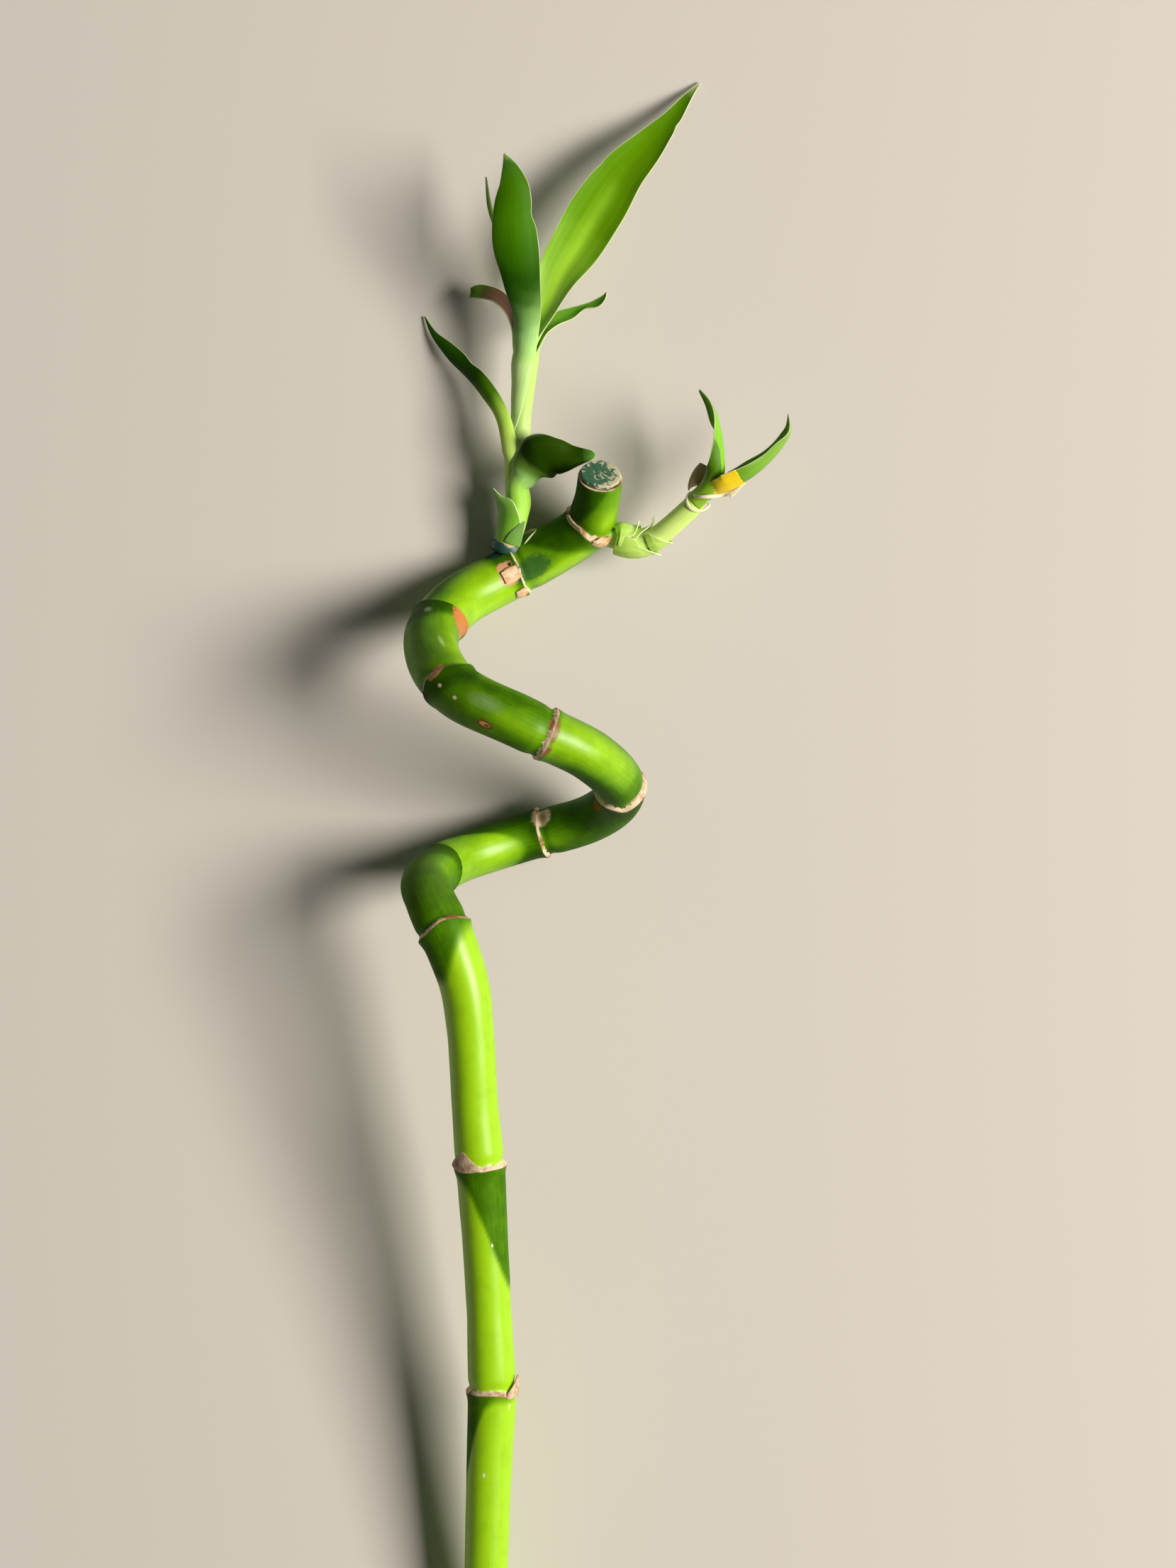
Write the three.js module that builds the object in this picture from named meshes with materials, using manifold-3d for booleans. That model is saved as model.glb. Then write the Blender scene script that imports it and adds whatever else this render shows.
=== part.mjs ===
// Lucky bamboo: one spiral cane with its cut top sealed, a leafy main shoot and a small side shoot.
// Millimetres. The cane lies along +Y, on its cut foot, the backs of its turns and two leaf tips;
// +Z is up from the surface that it lies on.

import * as THREE from 'three';
import { mergeVertices } from 'three/addons/utils/BufferGeometryUtils.js';
import Module from 'manifold-3d';

const wasm = await Module();
wasm.setup();

// Driving dimensions

const GAP = 0.3; // clearance between neighbouring pieces
const LEAF_THICKNESS = 0.7;
const SCALE_THICKNESS = 0.6;
const WAX_THICKNESS = 0.9;
const WAX_RIM = 0.7; // bare wood left round the wax on the cut

// The spiral: a coil about a line along Y, given by its height and radius at every eighth of a turn
const SPIRAL_X = 9.2;
const SPIRAL_Z = 29.5;
const SPIRAL_RISE = [206, 211.5, 217, 221.9, 228.9, 237, 245, 253.3, 265, 275, 284.5];
const SPIRAL_RADII = [24, 23.7, 23.4, 23.7, 23.7, 23.4, 23.4, 23.4, 22.8, 23.4, 23.1];

// The straight stem below the spiral and the stub above it: x, y, z on the centreline
const STEM_ROUTE = [
  [-0.7, -3, 4.9], [-0.2, 37, 12], [0.7, 65, 17], [1.3, 80, 20], [0.6, 100, 24], [-0.4, 120, 28],
  [-1.5, 137, 31.5], [-2.7, 151.5, 34.5], [-3.7, 169, 38], [-5.2, 181, 39.8], [-7.7, 189, 40.4],
  [-10.4, 195.2, 40], [-13.5, 201.5, 36.5],
];
const STUB_ROUTE = [[24.8, 294.2, 12.3], [27, 299.4, 16.6], [28, 305.8, 22.5]];

// The cane's radius at each point of its route
const CANE_RADII = [
  5.25, 5.35, 5.7, 6.05, 5.5, 5.65, 6.1, 5.7, 5.75, 6.1, 6.4, 6.6, 6.2,
  6.1, 6, 6, 5.9, 6.1, 6.4, 6.5, 6.7, 6.75, 6.6, 6.5, 6.3, 5.7, 5.5,
];

// Leaf-scar rings, as places along the route, and the relief of one ring along the cane
const RINGS = [3.05, 6, 10.88, 13.6, 15.26, 17.1, 18.69, 20.1, 21.52, 22.89, 24.12];
const RING_RELIEF = [[-2.2, 0.05], [-0.8, 0.35], [0, 0.5], [0.7, 0.3], [1.5, -0.1]];
const CANE_SIDES = 16;
const CANE_STEP = 5.2;

// Centrelines of the two shoots, and their radii
const MAIN_ROUTE = [
  [4.9, 288, 7.4], [6, 292, 8.5], [7.2, 297, 9.5], [8.2, 303.3, 10.5], [8.3, 310, 11.5],
  [8.3, 315.5, 12.2], [8.6, 322, 13], [9.3, 330.5, 14.2], [9.8, 341.5, 15.3],
];
const MAIN_RADII = [2.2, 1.1, 1.05, 1.05, 1.5, 1.6, 1.55, 1, 1];
const SIDE_ROUTE = [
  [30, 291.4, 12.5], [34, 290.6, 13], [37.8, 290.1, 13.5], [41.5, 291.2, 14.5], [45, 293.7, 16],
  [48.5, 296.8, 17.5], [51.8, 299.9, 19], [52.6, 300.6, 19.4], [56.7, 304.1, 21.6],
];
const SIDE_RADII = [2.6, 2.6, 2.6, 2.65, 2.65, 2.6, 2.55, 1.2, 0.9];
const SHOOT_SIDES = 12;

// Curves and sections

function vector(list) {
  return new THREE.Vector3(...list);
}

function routeCurve(points) {
  return new THREE.CatmullRomCurve3(points.map(vector), false, 'centripetal');
}

function valueAt(list, place) {
  const index = THREE.MathUtils.clamp(Math.floor(place), 0, list.length - 2);
  return THREE.MathUtils.lerp(list[index], list[index + 1], place - index);
}

function placeAt(curve, share) {
  return curve.getUtoTmapping(share) * (curve.points.length - 1);
}

function shareOfPlace(curve, place) {
  const lengths = curve.getLengths();
  const at = (place / (curve.points.length - 1)) * (lengths.length - 1);
  return valueAt(lengths, at) / lengths[lengths.length - 1];
}

function squareTo(direction, tangent) {
  return direction.clone().addScaledVector(tangent, -direction.dot(tangent)).normalize();
}

function caneRoute() {
  const spiral = SPIRAL_RISE.map((y, step) => {
    const turn = step * Math.PI / 4;
    const radius = SPIRAL_RADII[step];
    return [SPIRAL_X - radius * Math.cos(turn), y, SPIRAL_Z - radius * Math.sin(turn)];
  });
  return routeCurve([...STEM_ROUTE, ...spiral, ...STUB_ROUTE]);
}

// A rod along a curve: a closed cylinder whose rings are moved to the listed shares of its length
function bentRod(curve, radiusAt, sides, shares) {
  const rings = shares.length - 1;
  const steps = 600;
  const frames = curve.computeFrenetFrames(steps, false);
  const rod = new THREE.CylinderGeometry(1, 1, 1, sides, rings);
  const position = rod.attributes.position;
  for (let i = 0; i < position.count; i++) {
    const share = shares[Math.round((position.getY(i) + 0.5) * rings)];
    const frame = Math.round(share * steps);
    const across = frames.normals[frame];
    const deep = across.clone().cross(frames.tangents[frame]);
    const point = curve.getPointAt(share);
    point.addScaledVector(across, position.getX(i) * radiusAt(share));
    point.addScaledVector(deep, position.getZ(i) * radiusAt(share));
    position.setXYZ(i, point.x, point.y, point.z);
  }
  return rod;
}

// A thin sheet with the same split on both faces: surface(across, along) with across from -1 to 1
function thickened(surface, columns, rows, thickness) {
  const sheet = new THREE.PlaneGeometry(2, 1, columns, rows);
  const count = sheet.attributes.position.count;
  const small = 0.01;
  const points = [];
  for (const side of [0.5, -0.5]) {
    for (let i = 0; i < count; i++) {
      const across = sheet.attributes.position.getX(i);
      const along = sheet.attributes.position.getY(i) + 0.5;
      const back = Math.max(along - small, 0);
      const ahead = Math.min(along + small, 1);
      const acrossStep = surface(across + small, along).sub(surface(across - small, along));
      const alongStep = surface(across, ahead).sub(surface(across, back));
      const normal = acrossStep.cross(alongStep).normalize();
      const point = surface(across, along).addScaledVector(normal, side * thickness);
      points.push(point.x, point.y, point.z);
    }
  }
  const faces = Array.from(sheet.index.array);
  for (let i = sheet.index.count - 3; i >= 0; i -= 3) {
    faces.push(count + faces[i], count + faces[i + 2], count + faces[i + 1]);
  }
  const wide = columns + 1;
  const rim = [];
  for (let i = 0; i < columns; i++) rim.push(rows * wide + i);
  for (let i = rows; i > 0; i--) rim.push(i * wide + columns);
  for (let i = columns; i > 0; i--) rim.push(i);
  for (let i = 0; i < rows; i++) rim.push(i * wide);
  rim.forEach((from, i) => {
    const to = rim[(i + 1) % rim.length];
    faces.push(from, count + from, to, to, count + from, count + to);
  });
  const solid = new THREE.BufferGeometry();
  solid.setAttribute('position', new THREE.Float32BufferAttribute(points, 3));
  solid.setIndex(faces);
  return solid;
}

// A leaf's stations where it is still a sheath: places on a curve, the sheath's radius and half wrap,
// and the side of the stem that its midrib lies on
function sheathStations(curve, rows) {
  return rows.map(([share, radius, wrap, side]) => {
    const tangent = curve.getTangentAt(share);
    const outward = squareTo(vector(side), tangent);
    return {
      at: curve.getPointAt(share).addScaledVector(outward, radius),
      half: radius * THREE.MathUtils.degToRad(wrap),
      fold: wrap,
      inner: outward.negate(),
    };
  });
}

// A leaf's stations where it is a free blade: midrib point, half width, half fold in degrees, and the
// direction that its inner face looks in
function bladeStations(rows) {
  return rows.map(([x, y, z, half, fold, inner]) => {
    return { at: vector([x, y, z]), half, fold, inner: vector(inner) };
  });
}

// The sheet through a leaf's stations: across it an arc that closes to a tube where the fold is wide
function leafSurface(stations, extra) {
  const spine = new THREE.CatmullRomCurve3(stations.map((station) => station.at), false, 'centripetal');
  const halves = stations.map((station) => station.half);
  const folds = stations.map((station) => station.fold);
  const inners = [0, 1, 2].map((axis) => stations.map((station) => station.inner.getComponent(axis)));
  return (across, along) => {
    const place = placeAt(spine, along);
    const tangent = spine.getTangentAt(along);
    const inner = squareTo(vector(inners.map((list) => valueAt(list, place))), tangent);
    const sideways = tangent.clone().cross(inner);
    const fold = THREE.MathUtils.degToRad(valueAt(folds, place));
    const radius = valueAt(halves, place) / fold;
    const angle = across * (fold + extra / radius);
    return spine.getPointAt(along)
      .addScaledVector(inner, radius * (1 - Math.cos(angle)))
      .addScaledVector(sideways, radius * Math.sin(angle));
  };
}

function leaf(stations, columns, rows, thickness) {
  return (extra) => thickened(leafSurface(stations, extra), columns, rows, thickness + 2 * extra);
}

// The cane

const cane = caneRoute();
const caneLength = cane.getLength();
const ringShares = RINGS.map((place) => shareOfPlace(cane, place));

function ringRelief(share) {
  const reach = RING_RELIEF.length - 1;
  let relief = 0;
  for (const ring of ringShares) {
    const away = (share - ring) * caneLength;
    for (let i = 0; i < reach; i++) {
      const [from, low] = RING_RELIEF[i];
      const [to, high] = RING_RELIEF[i + 1];
      if (away >= from && away <= to) relief = THREE.MathUtils.mapLinear(away, from, to, low, high);
    }
  }
  return relief;
}

function caneRadius(share) {
  return valueAt(CANE_RADII, placeAt(cane, share)) + ringRelief(share);
}

function caneShares() {
  const steps = Math.round(caneLength / CANE_STEP);
  const clear = RING_RELIEF[RING_RELIEF.length - 1][0] + 1;
  const shares = [];
  for (let i = 0; i <= steps; i++) {
    const share = i / steps;
    const nearRing = ringShares.some((ring) => Math.abs(share - ring) * caneLength < clear);
    if (!nearRing) shares.push(share);
  }
  for (const ring of ringShares) {
    for (const [away] of RING_RELIEF) shares.push(ring + away / caneLength);
  }
  return shares.sort((a, b) => a - b);
}

function caneRod(extra) {
  return bentRod(cane, (share) => caneRadius(share) + extra, CANE_SIDES, caneShares());
}

// The wax seal: a flat cap on the cut top of the stub
function waxCap(extra) {
  const top = cane.getPointAt(1);
  const up = cane.getTangentAt(1);
  const radius = caneRadius(1) - WAX_RIM + extra;
  const cap = new THREE.CylinderGeometry(radius * 0.93, radius, WAX_THICKNESS + 2 * extra, CANE_SIDES);
  cap.applyQuaternion(new THREE.Quaternion().setFromUnitVectors(new THREE.Vector3(0, 1, 0), up));
  const centre = top.addScaledVector(up, GAP + WAX_THICKNESS / 2);
  return cap.translate(centre.x, centre.y, centre.z);
}

// A dry flap or a bud at a ring: it hugs the cane from one place of the route to another
function caneScale(places, side, wraps) {
  const rows = places.map((place, i) => {
    const share = shareOfPlace(cane, place);
    const lift = GAP + SCALE_THICKNESS / 2 + 0.45;
    return [share, valueAt(CANE_RADII, place) + lift, wraps[i], side];
  });
  return leaf(sheathStations(cane, rows), 4, 4, SCALE_THICKNESS);
}

// The main shoot

const mainStem = routeCurve(MAIN_ROUTE);
const sideStem = routeCurve(SIDE_ROUTE);

function shootRod(curve, radii, rings) {
  const shares = Array.from({ length: rings + 1 }, (_, i) => i / rings);
  const radiusAt = (share) => valueAt(radii, placeAt(curve, share));
  return (extra) => bentRod(curve, (share) => radiusAt(share) + extra, SHOOT_SIDES, shares);
}

// The direction round an upright stem: 0 is right, 90 is front and 180 is left
function round(degrees) {
  const angle = THREE.MathUtils.degToRad(degrees);
  return [Math.cos(angle), 0, Math.sin(angle)];
}

const LEAF_A = [
  ...sheathStations(mainStem, [
    [0.12, 1.7, 78, round(180)], [0.3, 1.7, 80, round(178)], [0.37, 2.7, 84, round(175)],
  ]),
  ...bladeStations([
    [4.3, 311.5, 12.4, 3, 54, [0.85, 0, -0.4]], [3.4, 317, 12.6, 3.2, 50, [0.75, 0.25, -0.55]],
    [1.6, 323, 11.8, 3.5, 50, [0.55, 0.4, -0.7]], [-2.2, 328, 9.8, 3.6, 45, [0.45, 0.45, -0.8]],
    [-6.3, 332.8, 7.4, 3.3, 42, [0.4, 0.45, -0.8]], [-10.3, 337.5, 4.8, 2.3, 40, [0.5, 0.4, -0.75]],
    [-13.4, 341.7, 2.3, 1.2, 35, [0.7, 0.35, -0.6]], [-15.6, 346.2, 0.1, 0.45, 30, [0.8, 0.2, -0.5]],
  ]),
];

const LEAF_B = [
  ...sheathStations(mainStem, [
    [0.07, 2.7, 138, round(62)], [0.18, 2.7, 138, round(66)], [0.27, 2.75, 124, round(70)],
  ]),
  ...bladeStations([
    [9.6, 305.6, 15.2, 6, 88, [-0.1, 0.1, -1]], [11.3, 308.4, 18.1, 5.8, 58, [0, 0.15, -1]],
    [14.4, 311, 19, 6.2, 38, [0, 0.2, -1]], [19.2, 311.2, 19.3, 4.4, 32, [0, 0.2, -1]],
    [23.4, 310.9, 19.1, 2.9, 28, [0, 0.2, -1]], [26.2, 311.2, 18.8, 0.9, 25, [0, 0.2, -1]],
  ]),
];

const LEAF_C = [
  ...sheathStations(mainStem, [
    [0.44, 2.35, 66, round(190)], [0.57, 2.35, 66, round(190)], [0.66, 2.4, 62, round(157)],
    [0.78, 2.75, 70, round(140)], [0.86, 3.15, 72, round(131)],
  ]),
  ...bladeStations([
    [8.7, 337.5, 18.8, 3.9, 68, [0.3, 0, -0.9]], [9.6, 344.5, 20.6, 4, 60, [0.1, 0.1, -1]],
    [9.3, 350, 22.6, 4.6, 46, [0, 0.15, -1]], [8.2, 356, 25, 5.6, 40, [0, 0.2, -1]],
    [7.1, 361.5, 26.8, 6.1, 36, [0, 0.15, -1]], [6.7, 367, 28.2, 5.9, 34, [0, 0.1, -1]],
    [6.8, 372, 29.2, 5.2, 32, [0, 0, -1]], [6.9, 377, 29.7, 4.1, 30, [0, -0.1, -1]],
    [5.6, 382, 29.4, 1.9, 26, [0, -0.1, -1]], [4.4, 385.2, 28.8, 0.45, 25, [0, -0.1, -1]],
  ]),
];

const LEAF_D = [
  ...sheathStations(mainStem, [
    [0.78, 1.7, 115, round(-25)], [0.87, 2.05, 110, round(-40)], [0.95, 2.5, 95, round(-50)],
  ]),
  ...bladeStations([
    [14.9, 348, 14, 5.3, 66, [-0.5, 0.15, 1]], [17.9, 355.6, 14.6, 6.4, 46, [-0.3, 0.1, 1]],
    [22.4, 363.6, 15, 7.3, 36, [-0.15, 0.05, 1]], [27.7, 372.1, 14.2, 7.5, 32, [-0.1, 0.2, 1]],
    [33.4, 380.6, 12.4, 6.4, 30, [0, 0.3, 1]], [39.8, 388.2, 9.4, 4.7, 30, [0, 0.4, 1]],
    [45.4, 394.9, 6, 2.8, 28, [0, 0.4, 1]], [49.8, 400.6, 2.6, 1.3, 26, [0, 0.4, 1]],
    [53, 405, 0.1, 0.45, 25, [0, 0.4, 1]],
  ]),
];

const LEAF_E = [
  ...sheathStations(mainStem, [[0.74, 2.9, 22, round(246)], [0.86, 3.3, 24, round(240)]]),
  ...bladeStations([
    [7.4, 338, 11.6, 1.5, 26, [0.6, 0.1, 0.8]], [7, 343.4, 10.4, 1.7, 28, [0.6, 0.3, 0.8]],
    [5.3, 347.4, 9.4, 2, 30, [0.5, 0.6, 0.7]], [2.7, 350.6, 8.4, 2.4, 34, [0.25, 0.55, 0.8]],
    [0.2, 351.8, 7.4, 2.3, 36, [0.15, 0.45, 0.88]], [-2.6, 352.2, 6.2, 2.2, 34, [0.15, 0.45, 0.88]],
    [-4.3, 352, 5.2, 1.6, 30, [0.15, 0.45, 0.88]],
  ]),
];

const LEAF_F = [
  ...sheathStations(mainStem, [
    [0.44, 2.35, 94, round(15)], [0.57, 2.35, 94, round(15)], [0.66, 2.4, 78, round(-5)],
    [0.78, 2.75, 66, round(-15)], [0.86, 3.15, 54, round(-20)],
  ]),
  ...bladeStations([
    [13.3, 338.2, 13.4, 2.5, 45, [-0.7, 0.5, 0.2]], [15.8, 341.9, 11.4, 2.7, 40, [-0.5, 0.7, 0.4]],
    [19.4, 344.7, 10.2, 3.1, 36, [-0.3, 0.8, 0.5]], [23.2, 346.9, 10.2, 3, 34, [-0.2, 0.8, 0.5]],
    [26.9, 348.6, 10.8, 2.3, 32, [-0.3, 0.8, 0.5]], [29.3, 349.9, 11.8, 1.5, 30, [-0.4, 0.75, 0.5]],
    [30, 351.8, 12.4, 0.45, 30, [-0.5, 0.7, 0.5]],
  ]),
];

const LEAF_G = bladeStations([
  [9.6, 342.6, 15.5, 1.5, 75, [0.3, 0, -1]], [8.5, 348.6, 17, 1.5, 70, [0.3, 0, -1]],
  [6.1, 357.2, 18.8, 1.5, 60, [0.3, 0, -1]], [3.4, 366, 20.6, 1.4, 50, [0.3, 0, -1]],
  [1.1, 372.6, 21.8, 1.1, 45, [0.3, 0, -1]], [-0.2, 379.8, 22.4, 0.45, 40, [0.3, 0, -1]],
]);

const BRACT_FRONT = sheathStations(mainStem, [
  [0.05, 4.6, 40, round(76)], [0.1, 4.6, 24, round(68)], [0.16, 4.7, 6, round(58)],
]);

const BRACT_LEFT = [
  ...sheathStations(mainStem, [
    [0.05, 3.7, 92, round(140)], [0.11, 3.9, 84, round(144)], [0.17, 4.4, 62, round(150)],
    [0.22, 4.9, 40, round(156)],
  ]),
  ...bladeStations([
    [2.1, 301.4, 12.6, 1.4, 26, [0.8, 0, -0.6]], [1.6, 303.6, 13.1, 0.4, 20, [0.8, 0, -0.6]],
  ]),
];

const BRACT_DRY = sheathStations(mainStem, [
  [0.06, 4, 34, round(-12)], [0.1, 4.1, 34, round(-12)], [0.14, 4.4, 16, round(-12)],
]);

// The side shoot

// Sides of the side shoot: towards the foot and away from it
const BELOW = [0.35, -0.75, 0.4];
const ABOVE = [-0.4, 0.7, 0.4];

const LEAF_H = [
  ...sheathStations(sideStem, [[0.84, 2.65, 80, [-0.5, 0.3, 0.8]], [0.92, 2.7, 66, [-0.5, 0.3, 0.8]]]),
  ...bladeStations([
    [56.8, 307.6, 25.4, 3.4, 58, [-0.4, 0.1, -0.8]], [58, 313.8, 25.9, 3.3, 60, [-0.8, 0.1, -0.3]],
    [57.1, 319.2, 26.4, 3.3, 55, [-0.8, 0, 0.1]], [55.2, 323.7, 26.4, 2.3, 46, [-0.8, -0.2, 0.3]],
    [52.4, 327.2, 26.2, 0.7, 35, [-0.8, -0.2, 0.4]],
  ]),
];

const LEAF_I = [
  ...sheathStations(sideStem, [[0.88, 1.7, 78, BELOW], [0.96, 1.75, 82, BELOW]]),
  ...bladeStations([
    [59.8, 302.2, 22, 3.8, 80, [-0.4, 0.65, -0.5]], [63, 304.3, 22.8, 5.2, 80, [-0.45, 0.7, -0.55]],
    [66, 306.5, 23.4, 4.85, 85, [-0.5, 0.65, -0.55]], [70.1, 310.1, 24.2, 2.9, 80, [-0.6, 0.55, -0.55]],
    [73.1, 313.7, 25, 2.5, 75, [-0.75, 0.4, -0.5]], [74.7, 317.1, 25.8, 1.5, 65, [-0.9, 0.1, -0.4]],
    [74.2, 321.3, 27, 0.45, 35, [-0.9, -0.2, -0.3]],
  ]),
];

const SIDE_BRACTS = [
  [
    [0.05, 4.3, 120, BELOW], [0.12, 4.3, 108, BELOW], [0.19, 4.35, 80, BELOW],
    [0.25, 4.6, 44, BELOW], [0.32, 5, 8, BELOW],
  ],
  [
    [0.1, 3.35, 128, ABOVE], [0.16, 3.35, 104, ABOVE], [0.22, 3.4, 70, ABOVE],
    [0.27, 3.7, 34, ABOVE], [0.31, 4.2, 8, ABOVE],
  ],
  [[0.35, 3.35, 124, BELOW], [0.39, 3.35, 96, BELOW], [0.43, 3.35, 56, BELOW], [0.47, 3.4, 10, BELOW]],
];

const CREAM_RING = sheathStations(sideStem, [[0.78, 3.25, 150, BELOW], [0.81, 3.25, 145, BELOW]]);

const DRY_SCALE = [
  ...sheathStations(sideStem, [[0.84, 3.6, 26, [-0.8, 0.5, 0.1]]]),
  ...bladeStations([
    [50.6, 304.6, 19.6, 1.6, 30, [0.8, -0.3, 0]], [52.6, 308.8, 19.4, 1.4, 25, [0.8, -0.3, 0]],
  ]),
];

const TORN_SHEATH = [
  ...sheathStations(sideStem, [[0.84, 3.6, 26, [0.35, -0.4, 0.8]], [0.93, 3.6, 30, [0.35, -0.3, 0.8]]]),
  ...bladeStations([
    [59.8, 303.4, 25.4, 2.2, 30, [-0.2, 0.3, -0.9]], [63, 305.6, 26.8, 1.8, 26, [-0.2, 0.3, -0.9]],
  ]),
];

// Materials

function material(color, roughness) {
  return new THREE.MeshStandardMaterial({ color, roughness, metalness: 0, side: THREE.DoubleSide });
}

const caneSkin = () => material('#6fae1c', 0.35);
const leafSkin = () => material('#3f8a1a', 0.45);
const sheathSkin = () => material('#9acb5c', 0.5);
const paperSkin = () => material('#c9a27a', 0.8);
const creamSkin = () => material('#e6dfb8', 0.75);
const yellowSkin = () => material('#e9b822', 0.6);
const waxSkin = () => material('#3f6a5a', 0.3);

// The pieces, from the inside out: each is cut clear of those before it

const pieces = [
  ['cane', caneRod, caneSkin()],
  ['wax_cap', waxCap, waxSkin()],
  ['main_stem', shootRod(mainStem, MAIN_RADII, 14), sheathSkin()],
  ['side_stem', shootRod(sideStem, SIDE_RADII, 10), sheathSkin()],
  ['leaf_g', leaf(LEAF_G, 4, 10, 0.6), leafSkin()],
  ['leaf_d', leaf(LEAF_D, 6, 20, LEAF_THICKNESS), leafSkin()],
  ['leaf_f', leaf(LEAF_F, 4, 14, LEAF_THICKNESS), leafSkin()],
  ['leaf_e', leaf(LEAF_E, 4, 14, LEAF_THICKNESS), leafSkin()],
  ['leaf_c', leaf(LEAF_C, 6, 22, LEAF_THICKNESS), leafSkin()],
  ['leaf_a', leaf(LEAF_A, 6, 20, 0.6), leafSkin()],
  ['leaf_b', leaf(LEAF_B, 8, 18, 0.6), leafSkin()],
  ['bract_left', leaf(BRACT_LEFT, 8, 10, SCALE_THICKNESS), sheathSkin()],
  ['bract_front', leaf(BRACT_FRONT, 4, 6, SCALE_THICKNESS), sheathSkin()],
  ['bract_dry', leaf(BRACT_DRY, 4, 4, SCALE_THICKNESS), paperSkin()],
  ['leaf_h', leaf(LEAF_H, 4, 14, 0.6), leafSkin()],
  ['leaf_i', leaf(LEAF_I, 6, 14, 0.6), leafSkin()],
  ['cream_ring', leaf(CREAM_RING, 10, 1, SCALE_THICKNESS), creamSkin()],
  ['torn_sheath', leaf(TORN_SHEATH, 4, 6, SCALE_THICKNESS), yellowSkin()],
  ['dry_scale', leaf(DRY_SCALE, 3, 5, SCALE_THICKNESS), paperSkin()],
  ['ring_flap_1', caneScale([2.98, 3.07, 3.16, 3.27], [0.94, 0, 0.33], [34, 32, 18, 5]), paperSkin()],
  ['bud_2', caneScale([5.96, 6.05, 6.18, 6.31], [-0.62, -0.2, 0.76], [36, 34, 24, 6]), paperSkin()],
  ['ring_flap_10', caneScale([22.6, 22.73, 22.86], [0.22, 0.02, 0.97], [16, 20, 18]), paperSkin()],
  ['bud_10', caneScale([22.7, 22.78, 22.86], [0.47, -0.67, 0.57], [10, 13, 9]), paperSkin()],
  ['ring_flap_11', caneScale([24.05, 24.24, 24.5], [-0.76, -0.15, 0.63], [28, 26, 16]), paperSkin()],
  ['bud_11', caneScale([23.97, 24.1, 24.28], [0.6, -0.68, 0.55], [18, 20, 12]), paperSkin()],
];
SIDE_BRACTS.forEach((rows, i) => {
  const bract = leaf(sheathStations(sideStem, rows), 8, 8, SCALE_THICKNESS);
  pieces.push([`side_bract_${i + 1}`, bract, sheathSkin()]);
});

// Joining and cutting

function solidOf(geometry) {
  const bare = geometry.clone();
  bare.deleteAttribute('normal');
  bare.deleteAttribute('uv');
  const merged = mergeVertices(bare, 0.0001);
  return new wasm.Manifold(new wasm.Mesh({
    numProp: 3,
    vertProperties: new Float32Array(merged.attributes.position.array),
    triVerts: new Uint32Array(merged.index.array),
  }));
}

function geometryOf(solid) {
  const mesh = solid.getMesh();
  const geometry = new THREE.BufferGeometry();
  geometry.setAttribute('position', new THREE.BufferAttribute(mesh.vertProperties, 3));
  geometry.setIndex(new THREE.BufferAttribute(mesh.triVerts, 1));
  return geometry;
}

function largestOf(solid) {
  return solid.decompose().reduce((best, one) => (one.volume() > best.volume() ? one : best));
}

const plant = new THREE.Group();
const done = [];
for (const [name, build, skin] of pieces) {
  let solid = solidOf(build(0));
  for (const inner of done) {
    if (solid.intersect(inner.near).volume() > 0) solid = largestOf(solid.subtract(inner.grown));
  }
  done.push({ near: solidOf(build(GAP / 2)), grown: solidOf(build(GAP)) });
  const mesh = new THREE.Mesh(geometryOf(solid), skin);
  mesh.name = name;
  plant.add(mesh);
}

// The origin is the bottom centre of the whole plant's box
const box = new THREE.Box3().setFromObject(plant);
const middle = box.getCenter(new THREE.Vector3());
plant.position.set(-middle.x, -middle.y, -box.min.z);

export default plant;
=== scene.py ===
# Lucky bamboo: a spiral cane with its top cut and sealed, a leafy main shoot and a small side shoot.
# It lies on the floor on its cut foot, the backs of its turns and the tips of two leaves.

from math import cos, degrees, exp, pi, radians, sin, tau

import bmesh
import bpy
import numpy as np
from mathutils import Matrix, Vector, noise


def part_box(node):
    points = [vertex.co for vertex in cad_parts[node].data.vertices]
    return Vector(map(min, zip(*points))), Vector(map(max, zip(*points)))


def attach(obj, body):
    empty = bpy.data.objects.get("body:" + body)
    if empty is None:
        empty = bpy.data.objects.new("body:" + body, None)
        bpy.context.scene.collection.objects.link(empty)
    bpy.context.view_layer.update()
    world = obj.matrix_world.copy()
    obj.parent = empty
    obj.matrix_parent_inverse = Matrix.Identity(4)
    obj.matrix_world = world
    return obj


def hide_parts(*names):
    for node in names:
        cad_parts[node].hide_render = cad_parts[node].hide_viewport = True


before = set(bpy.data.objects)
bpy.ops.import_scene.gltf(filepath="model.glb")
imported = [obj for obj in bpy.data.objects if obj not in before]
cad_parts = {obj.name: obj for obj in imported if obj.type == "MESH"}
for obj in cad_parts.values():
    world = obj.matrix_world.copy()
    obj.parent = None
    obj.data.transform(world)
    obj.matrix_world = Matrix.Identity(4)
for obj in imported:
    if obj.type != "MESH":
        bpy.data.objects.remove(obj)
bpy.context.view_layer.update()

# The cane
# One living stem of Dracaena, about 12 mm thick, trained into a left-handed coil by turning it to the
# light. Eleven leaf scars ring it, and each length of green skin is palest just above its ring. Its
# greens also carry painted shade and painted light.

MM = 0.001
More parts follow.
